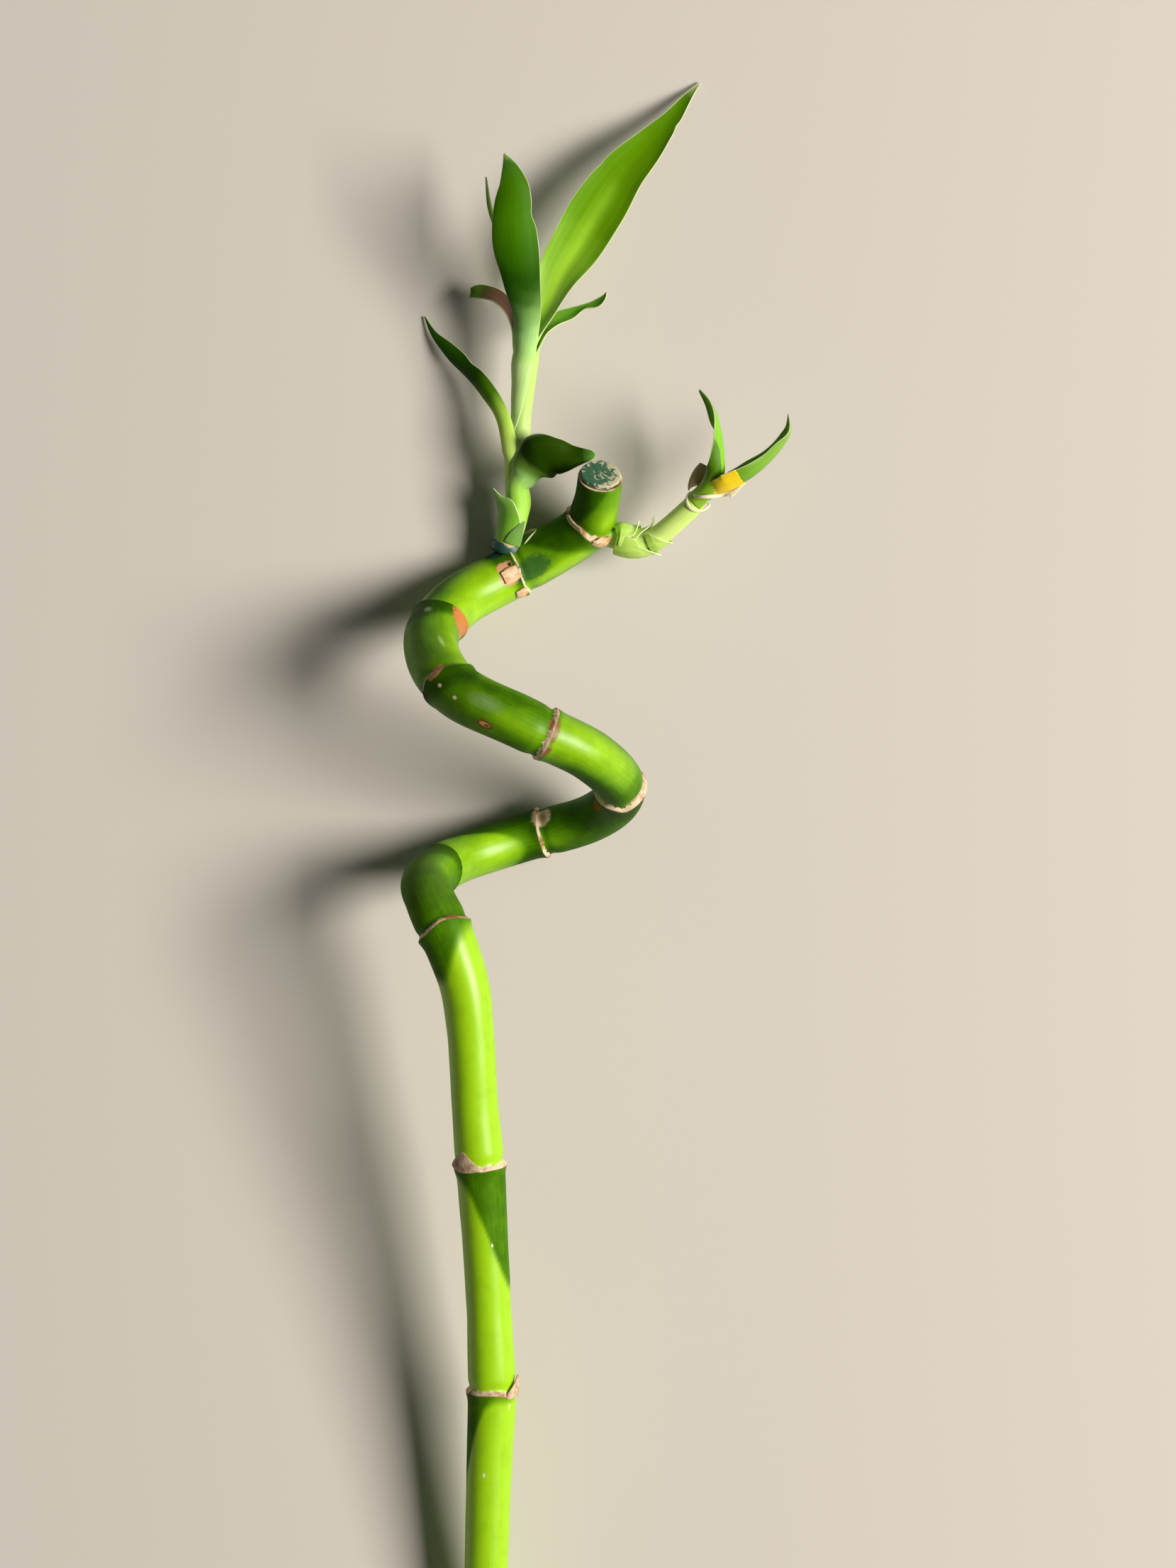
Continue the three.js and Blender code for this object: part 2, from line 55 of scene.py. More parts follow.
# The coil's axis, then its height and radius at each eighth of a turn
SPIRAL_X, SPIRAL_Z = 9.2, 29.5
SPIRAL_RISE = [206, 211.5, 217, 221.9, 228.9, 237, 245, 253.3, 265, 275, 284.5]
SPIRAL_RADII = [24, 23.7, 23.4, 23.7, 23.7, 23.4, 23.4, 23.4, 22.8, 23.4, 23.1]
# The cane's line below and above the coil, then its radius at each point of the whole line
STEM_ROUTE = [
    (-0.7, -3, 4.9), (-0.2, 37, 12), (0.7, 65, 17), (1.3, 80, 20), (0.6, 100, 24), (-0.4, 120, 28),
    (-1.5, 137, 31.5), (-2.7, 151.5, 34.5), (-3.7, 169, 38), (-5.2, 181, 39.8), (-7.7, 189, 40.4),
    (-10.4, 195.2, 40), (-13.5, 201.5, 36.5),
]
STUB_ROUTE = [(24.8, 294.2, 12.3), (27, 299.4, 16.6), (28, 305.8, 22.5)]
CANE_RADII = [
    5.25, 5.35, 5.7, 6.05, 5.5, 5.65, 6.1, 5.7, 5.75, 6.1, 6.4, 6.6, 6.2,
    6.1, 6, 6, 5.9, 6.1, 6.4, 6.5, 6.7, 6.75, 6.6, 6.5, 6.3, 5.7, 5.5,
]
# The rings' places in that line, the skin's sides, and how far the cut dips inside its edge
RINGS = [3.05, 6, 10.88, 13.6, 15.26, 17.1, 18.69, 20.1, 21.52, 22.89, 24.12]
CANE_SIDES = 80
CUT_DEPTH = 0.25


def smooth_route(rows, steps=24):
    """A centripetal curve through rows that start with x, y, z: its samples, with place and length."""
    rows = np.array(rows, float)
    ends = np.array([2 * rows[0] - rows[1], *rows, 2 * rows[-1] - rows[-2]])
    samples = []
    for i in range(len(rows) - 1):
        a, b, c, d = ends[i:i + 4]
        before, span, after = (np.linalg.norm((q - p)[:3]) ** 0.5 for p, q in ((a, b), (b, c), (c, d)))
        leave = ((b - a) / before - (c - a) / (before + span) + (c - b) / span) * span
        reach = ((c - b) / span - (d - b) / (span + after) + (d - c) / after) * span
        for t in np.arange(steps) / steps:
            bend = (3 * (c - b) - 2 * leave - reach) * t ** 2 + (2 * (b - c) + leave + reach) * t ** 3
            samples.append(b + leave * t + bend)
    samples = np.array([*samples, rows[-1]])
    lengths = np.concatenate([[0], np.linalg.norm(np.diff(samples[:, :3], axis=0), axis=1).cumsum()])
    return {"rows": samples, "length": lengths, "place": np.arange(len(samples)) / steps}


def row_at(route, length):
    """The route's row at a length along it."""
    return np.array([np.interp(length, route["length"], column) for column in route["rows"].T])


def length_at(route, place):
    """The length along the route at a place in its list of points."""
    return float(np.interp(place, route["place"], route["length"]))


def radius_at(route, radii, length):
    """A stem's radius at a length along its route, between the radii at its points."""
    place = np.interp(length, route["length"], route["place"])
    return np.interp(place, range(len(radii)), radii)


def tangent_at(route, length):
    """The route's direction at a length along it, taken over 0.4 mm."""
    step = row_at(route, length + 0.2)[:3] - row_at(route, length - 0.2)[:3]
    return step / np.linalg.norm(step)


def square_to(direction, tangent):
    """The part of a direction that is square to the tangent, one long."""
    direction = np.array(direction, float)
    direction = direction - direction @ tangent * tangent
    return direction / np.linalg.norm(direction)


spiral_route = [
    (SPIRAL_X - radius * cos(turn), rise, SPIRAL_Z - radius * sin(turn))
    for rise, radius, turn in zip(SPIRAL_RISE, SPIRAL_RADII, np.arange(len(SPIRAL_RISE)) * pi / 4)
]
cane = smooth_route(STEM_ROUTE + spiral_route + STUB_ROUTE)
cane_length = cane["length"][-1]
ring_lengths = [length_at(cane, place) for place in RINGS]

# The routes are millimetres in the drawing of the plant. The wax seal, which sits on the end of the
# cane's route, shows where the drawing's origin lies in the frame.
WAX_GAP, WAX_THICKNESS = 0.3, 0.9
wax_centre = row_at(cane, cane_length) + tangent_at(cane, cane_length) * (WAX_GAP + WAX_THICKNESS / 2)
wax_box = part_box("wax_cap")
drawing_origin = (wax_box[0] + wax_box[1]) / 2 - Vector(wax_centre) * MM


def to_frame(point):
    """A point of the drawing, in millimetres, as a point of the frame, in metres."""
    return drawing_origin + Vector(point) * MM


# The cane's front direction at each sample: it starts at the viewer's side and never twists
fronts = [(0, 0, 1)]
for length in cane["length"]:
    fronts.append(square_to(fronts[-1], tangent_at(cane, length)))
cane_fronts = {"length": cane["length"], "rows": np.array(fronts[1:])}


def point_round(route, front, length, angle, height):
    """A point of the frame at a height over a stem's line: angle 0 is its front, 90 degrees its right."""
    tangent = tangent_at(route, length)
    front = square_to(front, tangent)
    right = np.cross(tangent, front)
    return to_frame(row_at(route, length) + height * (front * cos(angle) + right * sin(angle)))


# What makes each ring uneven: its angle in degrees, how far it rises there in mm, and its half width
RING_WAVES = [
    [(-10, 0.4, 30), (80, 1.2, 16)], [(-38, 0.6, 30), (-85, -0.6, 30), (95, 0.2, 40)], [(9, 1, 36)],
    [(50, 0.5, 40), (140, -1.6, 30)], [(70, 0.3, 30)], [(124, 0.3, 20), (157, -1, 18)],
    [(-120, 0.3, 30)], [(150, 1.4, 60), (-90, -1.6, 40)], [(-110, -1.8, 50), (5, 2.6, 40)],
    [(-135, 0.9, 30), (-30, -0.9, 30)], [(-80, 0.5, 40), (-10, -0.5, 30)],
]
# How wide each ring's dead bark is, in mm
RING_WIDTHS = [1.4, 1.5, 0.9, 0.6, 1.1, 1.9, 1.4, 0.6, 0.6, 0.9, 1.6]
# For the skin below each ring and at the cut: how bright its green is, from 0 to 1, then the dark skin
# under its upper ring: the mm that it reaches down on its short side and on its long side, the angle
# in degrees of the long side, and how sharply it narrows away from there. The dark skin is partly the
# skin's own darker green and partly painted shade; its long side mostly lies on the left, away from
# the light.
SKIN_TONES = [
    (1, 1, 24, -90, 4.7), (1, 2, 31, 80, 1.6), (1, 1, 12, -60, 2), (0.3, 1, 10, -40, 1),
    (0.72, 6, 40, -60, 1.2), (0.25, 2, 30, -60, 1), (0.75, 0, 1, 0, 1), (0.42, 1, 6, -100, 1),
    (0.52, 2, 8, 180, 1), (0.84, 1, 8, -130, 2), (0.54, 1, 20, -150, 1), (0.46, 2, 20, -100, 2),
]
# Where the skin is lighter or darker than that, partly its own mottling and partly painted light and
# painted shade: the length along the cane in mm, the angle in degrees, the half length in mm, the half
# width in degrees, and the change of tone
SKIN_PATCHES = [
    (222, 75, 7, 25, 0.3), (251, 88, 9, 42, 0.25), (251, 20, 12, 26, -0.6), (258, 150, 8, 30, -0.35),
    (268, 110, 6, 30, 0.3), (288, 60, 12, 40, -0.15), (303, -150, 5, 60, -0.4), (312, 140, 16, 32, -0.8),
    (312, -80, 16, 22, -0.35), (320, -140, 7, 40, 0.1), (338, -165, 8, 22, 0.3), (345, -110, 16, 16, -0.2),
    (360, -80, 12, 24, 0.15), (372, -60, 10, 24, 0.2), (378, -140, 14, 24, -0.2), (392, -110, 8, 26, -0.35),
    (398, -135, 10, 18, -0.45), (404, -10, 12, 24, 0.15), (430, -10, 10, 24, 0.55), (424, -48, 8, 26, -0.1),
    (446, 10, 5, 30, 0.35), (449, -85, 8, 28, -0.5),
]


def turned(angle, centre):
    """How far an angle lies from a centre given in degrees, in degrees from -180 to 180."""
    return (degrees(angle) - centre + 180) % 360 - 180


def ring_shift(index, angle):
    """How far a ring stands above its mean place at an angle, in mm."""
    shift = 0.25 * noise.noise((cos(angle) * 2, sin(angle) * 2, index * 7.3))
    for centre, rise, spread in RING_WAVES[index]:
        shift += rise * exp(-(turned(angle, centre) / spread) ** 2)
    return shift


def nearest_ring(length, angle):
    """The distance in mm above the ring whose scar is nearest, below zero under it, and its index."""
    index = min(range(len(RINGS)), key=lambda i: abs(length - ring_lengths[i]))
    return length - ring_lengths[index] - ring_shift(index, angle), index


def ring_relief(away):
    """The skin's height in mm near a ring: it flares below, ends in a lip and is drawn in above."""
    lip, waist = 0.45, 0.4
    if away < 0:
        return lip * exp(-(away / 1.7) ** 2)
    return lip * exp(-(away / 0.5) ** 2) - waist * exp(-((away - 1.1) / 1.4) ** 2)


# The mm beyond the cut at which the next ring would stand, the mm over which dark skin fades, and the
# share of the tone that it keeps
NEXT_RING, DARK_FADE, DARK_SHARE = 6, 4, 0.3


def skin_tone(length, angle):
    """How bright the green is at a place on the skin, from 0 to 1: partly the skin's own green and
    partly painted shade and painted light.
    """
    below = sum(length > ring + ring_shift(i, angle) for i, ring in enumerate(ring_lengths))
    brightness, near, far, centre, power = SKIN_TONES[below]
    upper = cane_length + NEXT_RING
    if below < len(RINGS):
        upper = ring_lengths[below] + ring_shift(below, angle)
    facing = 0.5 + 0.5 * cos(radians(turned(angle, centre)))
    reach = near + (far - near) * facing ** power
    clear = min(1, max(0, (upper - length - reach) / DARK_FADE + 0.5))
    tone = brightness * (DARK_SHARE + (1 - DARK_SHARE) * clear * clear * (3 - 2 * clear))
    for place, middle, half_length, half_width, change in SKIN_PATCHES:
        away = ((length - place) / half_length) ** 2 + (turned(angle, middle) / half_width) ** 2
        tone += change * exp(-away)
    return min(1, max(0, tone))


def cane_rows():
    """The lengths along the cane at which its skin has a loop of points, close together at the rings."""
    step, close_step, least_step = 1.3, 0.3, 0.12
    lengths = set(np.arange(0, cane_length, step).round(2))
    for ring in ring_lengths:
        lengths |= set(np.arange(ring - 3, ring + 5, close_step).round(2))
    lengths = sorted(lengths) + [cane_length]
    return [length for i, length in enumerate(lengths) if i == 0 or length - lengths[i - 1] > least_step]


def new_object(name, data):
    """Puts a new object in the scene."""
    made = bpy.data.objects.new(name, data)
    bpy.context.scene.collection.objects.link(made)
    return made


def smooth_piece(name, bm, material):
    """Makes a piece of a bmesh, with smooth faces and its material."""
    mesh = bpy.data.meshes.new(name)
    bm.to_mesh(mesh)
    bm.free()
    mesh.materials.append(material)
    for face in mesh.polygons:
        face.use_smooth = True
    return new_object(name, mesh)


def plant_piece(name, node, bm, material):
    """Makes a piece of the plant, which may stand for a node of the frame."""
    piece = smooth_piece(name, bm, material)
    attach(piece, "root")
    if node:
        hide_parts(node)
    return piece


def new_grid(uv_name, columns, rows, *names):
    """A grid one unit square that has a UV map, and a layer of point values for each name."""
    bm = bmesh.new()
    bm.loops.layers.uv.new(uv_name)
    layers = [bm.verts.layers.float.new(name) for name in names]
    bmesh.ops.create_grid(bm, x_segments=columns, y_segments=rows, size=0.5, calc_uvs=True)
    return bm, layers


def close_seam(bm):
    """Welds the seam and the ends of a rolled grid, and turns its faces outwards."""
    bmesh.ops.remove_doubles(bm, verts=bm.verts, dist=0.01 * MM)
    bmesh.ops.recalc_face_normals(bm, faces=bm.faces)


# The skin's UV map is the arc round the cane at a mean radius, which starts far enough on to stay above
# zero, and the length along it, both in metres
SKIN_RADIUS = 6
SKIN_START = 20
# The skin counts as close to a ring within this many mm
RING_REACH = 4


def cane_mesh():
    """The cane's skin: a grid rolled round the route. Its ends close to a point, and the point values
    are the tone of the green, the height over the ring, the cut ends, and the skin close to a ring."""
    rows = [(0, 0), (0, 0.55), (0, 0.93), (0.12, 0.985)]
    rows += [(length, 1) for length in cane_rows()[1:-1]]
    rows += [(cane_length - 0.1, 1), (cane_length, 0.97), (cane_length, 0.9)]
    rows += [(cane_length - CUT_DEPTH, scale) for scale in (0.84, 0.4, 0)]
    last = len(rows) - 1
    bm, (tone, ring, cut, close) = new_grid("skin", CANE_SIDES, last, "tone", "ring", "cut", "close")
    uv = bm.loops.layers.uv.active
    for face in bm.faces:
        for loop in face.loops:
            length = rows[round((loop.vert.co.y + 0.5) * last)][0]
            loop[uv].uv = (loop.vert.co.x * tau * SKIN_RADIUS * MM + SKIN_START * MM, length * MM)
    for vert in bm.verts:
        length, scale = rows[round((vert.co.y + 0.5) * last)]
        angle = vert.co.x * tau
        away, index = nearest_ring(length, angle)
        # The skin swells and sinks by up to 0.1 mm over 9 mm
        uneven = 0.1 * noise.noise((length / 9, cos(angle), sin(angle)))
        height = (radius_at(cane, CANE_RADII, length) + ring_relief(away) + uneven) * scale
        vert.co = point_round(cane, row_at(cane_fronts, length), length, angle, height)
        vert[tone] = skin_tone(length, angle)
        vert[ring] = away / RING_WIDTHS[index]
        vert[cut] = 1 if scale < 0.99 else 0
        vert[close] = 1 if abs(away) < RING_REACH else 0
    close_seam(bm)
    return bm


def srgb(colour):
    """A linear colour from an sRGB hex value."""
    parts = [int(colour[i:i + 2], 16) / 255 for i in (1, 3, 5)]
    return [c / 12.92 if c <= 0.04045 else ((c + 0.055) / 1.055) ** 2.4 for c in parts] + [1]


# In a Mix node's sockets 0 is the amount, and 6 and 7 are the two colours. In a MapRange's, 1 and 2 are
# the range that the value comes from, and 3 and 4 the range that it goes to, which is else 0 to 1.
PAINT = {"data_type": "RGBA", "output": 2}


def fill(tree, node, sockets):
    """Gives a node's sockets their values, or links from other nodes."""
    for name, value in sockets.items():
        if isinstance(value, bpy.types.NodeSocket):
            tree.links.new(value, node.inputs[name])
        else:
            node.inputs[name].default_value = value


def add(tree, kind, sockets=None, output=0, **settings):
    """Adds a shader node with its settings, values and links, and gives back one of its outputs."""
    node = tree.nodes.new("ShaderNode" + kind)
    for name, value in settings.items():
        setattr(node, name, value)
    fill(tree, node, sockets or {})
    return node.outputs[output]


def new_material(name):
    """An empty node material: the material, its tree, and the shader that its surface shows."""
    material = bpy.data.materials.new(name)
    material.use_nodes = True
    tree = material.node_tree
    return material, tree, tree.nodes["Principled BSDF"]


def fill_ramp(colour, stops):
    """Gives the colour ramp that a colour comes from its stops."""
    ramp = colour.node.color_ramp.elements
    ramp[0].position, ramp[1].position = stops[0][0], stops[-1][0]
    ramp[0].color, ramp[1].color = srgb(stops[0][1]), srgb(stops[-1][1])
    for stop, shade in stops[1:-1]:
        ramp.new(stop).color = srgb(shade)


def fibres(tree, surface, across, along, detail):
    """Fibres that run along a surface: how many lie across its map, and how many end to end along it."""
    stretched = add(tree, "Mapping", {"Vector": surface, "Scale": (across, along, 1)})
    return add(tree, "TexNoise", {"Vector": stretched, "Scale": 1, "Detail": detail})


# The marks on the skin: the length along the cane in mm, the angle in degrees, the half length and the
# half width in mm, how soft its edge is, how far it covers the skin, and its colour
SKIN_MARKS = [
    (217, 28, 11, 5.5, 0.9, 0.25, "#7a8a50"), (421.5, -46, 6.5, 3, 0.25, 0.7, "#174d2c"),
    (413.8, -128, 3, 2.2, 0.2, 0.9, "#1c4a3c"), (345.2, -148, 3.4, 1.6, 0.9, 0.25, "#c8d8b0"),
    # The two pale green streaks on the next line are painted highlights on small dents
    (368.5, -97, 2.6, 0.5, 0.5, 0.7, "#b9dc8c"), (383, -120, 1.2, 0.8, 0.6, 0.6, "#a9c98a"),
    (356.3, -162, 0.5, 0.45, 0.25, 1, "#f6ecc0"), (351.9, -166.6, 0.5, 0.45, 0.25, 1, "#f6ecc0"),
    (343.9, 165.5, 2, 1.15, 0.2, 1, "#7c4c20"), (343.9, 165.8, 1.3, 0.65, 0.3, 1, "#e0ac66"),
    (343.4, 165, 0.6, 0.3, 0.4, 0.9, "#4a2a12"), (123.3, 18.5, 0.5, 0.3, 0.4, 0.9, "#f2f6c0"),
    (64.9, -12.3, 0.7, 0.4, 0.4, 0.9, "#f2f6c0"), (82.2, 46, 0.9, 0.25, 0.4, 0.8, "#f2f6c0"),
    (264.3, 47, 3, 2.9, 0.2, 1, "#e6cfb0"), (264.4, 46, 1.5, 1.8, 0.5, 0.8, "#a88460"),
    (359.3, -147, 1.3, 2.4, 0.2, 1, "#b98a58"), (360.5, 150, 2, 1.5, 0.3, 0.9, "#4a1e18"),
    (330, 176, 0.8, 2.4, 0.3, 0.9, "#8a5a34"), (330.1, -145, 0.7, 3.4, 0.3, 0.8, "#8a5a34"),
    (291.5, 88, 2.2, 1.6, 0.5, 0.7, "#b4541e"), (299.6, -150, 1.4, 6, 0.3, 0.85, "#cfa878"),
    (300.4, -128, 0.35, 4, 0.4, 1, "#fff0d8"), (413.5, -80, 2.6, 1.3, 0.2, 1, "#e0a878"),
    (413.5, -56, 3.2, 2.2, 0.2, 1, "#dca070"), (415.3, -79, 0.6, 0.5, 0.3, 1, "#26301c"),
]
# The leaf scar under the ninth ring is a half moon whose flat side is the ring itself
LEAF_SCAR = (389.6, -30, 8.2, 4.4, 0.1, 1, "#cc8446")


def mark_mask(tree, skin, ragged, mark):
    """How far a mark covers the skin: an ellipse whose edge wanders."""
    length, angle, half_length, half_width, soft, cover, _ = mark
    scale = (1 / (half_width * MM), 1 / (half_length * MM), 0)
    shift = (-(radians(angle) * SKIN_RADIUS + SKIN_START) / half_width, -length / half_length, 0)
    local = add(tree, "Mapping", {"Vector": skin, "Scale": scale, "Location": shift})
    local = add(tree, "VectorMath", {0: local, 1: ragged}, operation="ADD")
    away = add(tree, "VectorMath", {0: local}, operation="LENGTH", output="Value")
    return add(tree, "MapRange", {0: away, 1: 1 + soft / 2, 2: 1 - soft, 4: cover})


def cane_material():
    """Waxy living stem skin: smooth, with a broad soft highlight, over mottled green flesh. The rings
    are dead corky scars, dry and rough."""
    material, tree, shader = new_material("waxy_cane_skin")
    place = add(tree, "TexCoord", output="Object")
    keys = ("tone", "ring", "cut", "close")
    tone, ring, cut, close = [add(tree, "Attribute", output="Fac", attribute_name=key) for key in keys]
    skin = add(tree, "UVMap", uv_map="skin")
    # Cell mottling 4 mm across, and fibres 0.5 mm wide and 12.5 mm long. A noise's scale is its number
    # of lumps in a millimetre.
    mottle = add(tree, "TexNoise", {"Vector": place, "Scale": 0.25 / MM, "Detail": 4})
    fibre = fibres(tree, skin, 1 / (0.5 * MM), 1 / (12.5 * MM), 2)
    spread = add(tree, "MapRange", {0: mottle, 1: 0.3, 2: 0.7, 3: -0.07, 4: 0.07})
    streak = add(tree, "MapRange", {0: fibre, 1: 0.3, 2: 0.7, 3: -0.04, 4: 0.04})
    brightness = add(tree, "Math", {0: tone, 1: spread}, operation="ADD")
    brightness = add(tree, "Math", {0: brightness, 1: streak}, operation="ADD", use_clamp=True)
    # The ramp colours the tone: the skin's own mottled green with its painted shade and painted light
    colour = add(tree, "ValToRGB", {0: brightness})
    greens = [(0, "#2a5000"), (0.25, "#407002"), (0.5, "#629a04"), (0.75, "#88bc08"), (1, "#a8e014")]
    fill_ramp(colour, greens)
    # Marks wander by up to a fifth of their size
    wander = add(tree, "TexNoise", {"Vector": place, "Scale": 1.1 / MM, "Detail": 3}, output="Color")
    ragged = add(tree, "VectorMath", {0: wander, 1: (0.5, 0.5, 0.5)}, operation="SUBTRACT")
    ragged = add(tree, "VectorMath", {0: ragged, "Scale": 0.8}, operation="SCALE")
    for mark in SKIN_MARKS:
        mask = mark_mask(tree, skin, ragged, mark)
        colour = add(tree, "Mix", {0: mask, 6: colour, 7: srgb(mark[-1])}, **PAINT)
    below = add(tree, "Math", {0: ring, 1: 0}, operation="LESS_THAN")
    moon = mark_mask(tree, skin, ragged, LEAF_SCAR)
    moon = add(tree, "Math", {0: moon, 1: below}, operation="MULTIPLY")
    colour = add(tree, "Mix", {0: moon, 6: colour, 7: srgb(LEAF_SCAR[-1])}, **PAINT)
    # The scar is a band whose upper edge is frayed, with brown cracks across its pale cork
    fray = add(tree, "TexNoise", {"Vector": place, "Scale": 1 / MM, "Detail": 3})
    top = add(tree, "MapRange", {0: fray, 1: 0.3, 2: 0.7, 3: 0.25, 4: 0.85})
    over = add(tree, "Math", {0: ring, 1: top}, operation="LESS_THAN")
    under = add(tree, "Math", {0: ring, 1: -0.3}, operation="GREATER_THAN")
    band = add(tree, "Math", {0: over, 1: under}, operation="MULTIPLY")
    close = add(tree, "Math", {0: close, 1: 0.5}, operation="GREATER_THAN")
    band = add(tree, "Math", {0: band, 1: close}, operation="MULTIPLY")
    scar = add(tree, "Math", {0: band, 1: cut}, operation="MAXIMUM")
    age = add(tree, "TexNoise", {"Vector": place, "Scale": 0.14 / MM, "Detail": 4, "Roughness": 0.7})
    age = add(tree, "MapRange", {0: age, 1: 0.38, 2: 0.52})
    cork = add(tree, "Mix", {0: age, 6: srgb("#9a6c48"), 7: srgb("#f0d8b8")}, **PAINT)
    # The lip's lower edge is a thin brown line: partly the cork's own brown edge, partly painted shade in
    # the crease under the lip
    lip = add(tree, "MapRange", {0: ring, 1: -0.3, 2: -0.12, 3: 0.7, 4: 0})
    cork = add(tree, "Mix", {0: lip, 6: cork, 7: srgb("#8a5a38")}, **PAINT)
    colour = add(tree, "Mix", {0: scar, 6: colour, 7: cork}, **PAINT)
    waxy = add(tree, "MapRange", {0: tone, 1: 0.3, 2: 0.8, 3: 0.5, 4: 0.36})
    rough = add(tree, "MapRange", {0: scar, 3: waxy, 4: 0.85})
    grain = add(tree, "TexNoise", {"Vector": place, "Scale": 1.4 / MM, "Detail": 2})
    relief = add(tree, "MapRange", {0: scar, 3: 0.1, 4: 0.8})
    bump = add(tree, "Bump", {"Height": grain, "Strength": relief, "Distance": 0.15 * MM})
    gloss = add(tree, "MapRange", {0: tone, 1: 0.3, 2: 0.95, 3: 0.06, 4: 0.5})
    fill(tree, shader, {
        "Base Color": colour, "Roughness": rough, "Normal": bump, "Specular IOR Level": gloss,
    })
    return material


plant_piece("cane_skin", "cane", cane_mesh(), cane_material())

# The bark scales
# Dead scraps of leaf base and bud scale that still cling to four of the rings: dry, tan, papery and a
# third of a millimetre thick, each grown from the ring that it stands on.

SCALE_THICKNESS = 0.35
# The least half width of a sheet, and the length of margin for each radian of its ruffle's wave, in mm
NARROWEST = 0.04
RUFFLE_LENGTH = 2.3


def leaf_rows(stem, base, blade=()):
    """The rows of a leaf. Its base wraps a stem: each row has the share of the stem's length, the
    radius, the half wrap in degrees, and the side of the stem that the midrib lies on. The side is a
    direction, or on an upright stem an angle in degrees: 0 is right, 90 is front and 180 is left. Its
    blade is free: each row has the midrib's x, y, z, the half width, the half fold in degrees, and
    the direction that the inner face looks in."""
    rows = []
    for share, radius, wrap, side in base:
        length = share * stem["length"][-1]
        if np.isscalar(side):
            side = (cos(radians(side)), 0, sin(radians(side)))
        outward = square_to(side, tangent_at(stem, length))
        spot = row_at(stem, length) + outward * radius
        rows.append([*spot, radius * radians(wrap), wrap, *-outward])
    return rows + [[x, y, z, half, fold, *inner] for x, y, z, half, fold, inner in blade]


def sheet_mesh(stations, columns, rows, ruffle=0, notches=(), part=(-1, 1, 0, 1), lift=0, fray=0):
    """A leaf's sheet: a grid whose rows become arcs across the midrib. A ruffle is the height in mm of
    the waves along its margins, and a notch is its side, place, depth and half length in mm. A part of
    the sheet from side to side and from base to tip can be made alone, lifted off it, with torn ends.
    The point values are the distance in mm from the margin, the share of the length, and the side."""
    spine = smooth_route(stations, 12)
    total = spine["length"][-1]
    left, right, base, tip = part
    bm, (edge, along, side) = new_grid("leaf", columns, rows, "edge", "along", "side")
    for vert in bm.verts:
        torn = fray * noise.noise((vert.co.x * 9, vert.co.y * 2, total))
        across = left + (right - left) * (vert.co.x + 0.5)
        share = base + (tip - base) * (vert.co.y + 0.5 + torn)
        row = row_at(spine, share * total)
        tangent = tangent_at(spine, share * total)
        inner = square_to(row[5:8], tangent)
        sideways = np.cross(tangent, inner)
        width = row[3]
        for notch_side, place, depth, half in notches:
            if notch_side * across > 0:
                width -= depth * exp(-((share - place) * total / half) ** 2)
        radius = row[3] / radians(row[4])
        angle = across * max(width, NARROWEST) / radius
        wave = ruffle * across ** 2 * sin(share * total / RUFFLE_LENGTH + 2 * across)
        out = radius - wave + lift
        spot = row[:3] + inner * (radius - out * cos(angle)) + sideways * out * sin(angle)
        vert.co = to_frame(spot)
        vert[edge] = min(across - left, right - across) * width
        vert[along] = share
        vert[side] = across
    return bm


def sheet_piece(name, node, bm, material, thickness):
    """Makes a leaf or scale of the plant: a sheet with its thickness, rounded."""
    piece = plant_piece(name, node, bm, material)
    solidify = piece.modifiers.new("thickness", "SOLIDIFY")
    solidify.thickness = thickness * MM
    solidify.offset = 0
    smooth = piece.modifiers.new("rounding", "SUBSURF")
    smooth.levels = 1
    smooth.render_levels = 1


def scale_rows(side, spots):
    """Rows of a scale that hugs the cane between places of its route, lifted off its skin in mm."""
    rows = []
    for place, wrap, lift in spots:
        radius = np.interp(place, range(len(CANE_RADII)), CANE_RADII) + lift
        rows.append((length_at(cane, place) / cane_length, radius, wrap, side))
    return leaf_rows(cane, rows)


def papery_material(name, dark, light):
    """Dead leaf tissue: dry, matt and fibrous, between two colours."""
    material, tree, shader = new_material(name)
    place = add(tree, "TexCoord", output="Object")
    fibre = fibres(tree, add(tree, "UVMap", uv_map="leaf"), 30, 3, 4)
    patch = add(tree, "TexNoise", {"Vector": place, "Scale": 0.6 / MM, "Detail": 2})
    amount = add(tree, "Math", {0: fibre, 1: patch}, operation="ADD")
    amount = add(tree, "MapRange", {0: amount, 1: 0.75, 2: 1.25})
    colour = add(tree, "Mix", {0: amount, 6: srgb(dark), 7: srgb(light)}, **PAINT)
    bump = add(tree, "Bump", {"Height": fibre, "Strength": 0.5, "Distance": 0.2 * MM})
    fill(tree, shader, {"Base Color": colour, "Roughness": 0.8, "Normal": bump})
    return material


papery = papery_material("dry_papery_scale", "#a87c58", "#ecd6b4")
tan_bark = papery_material("torn_tan_bark", "#dc9c64", "#fce4c4")
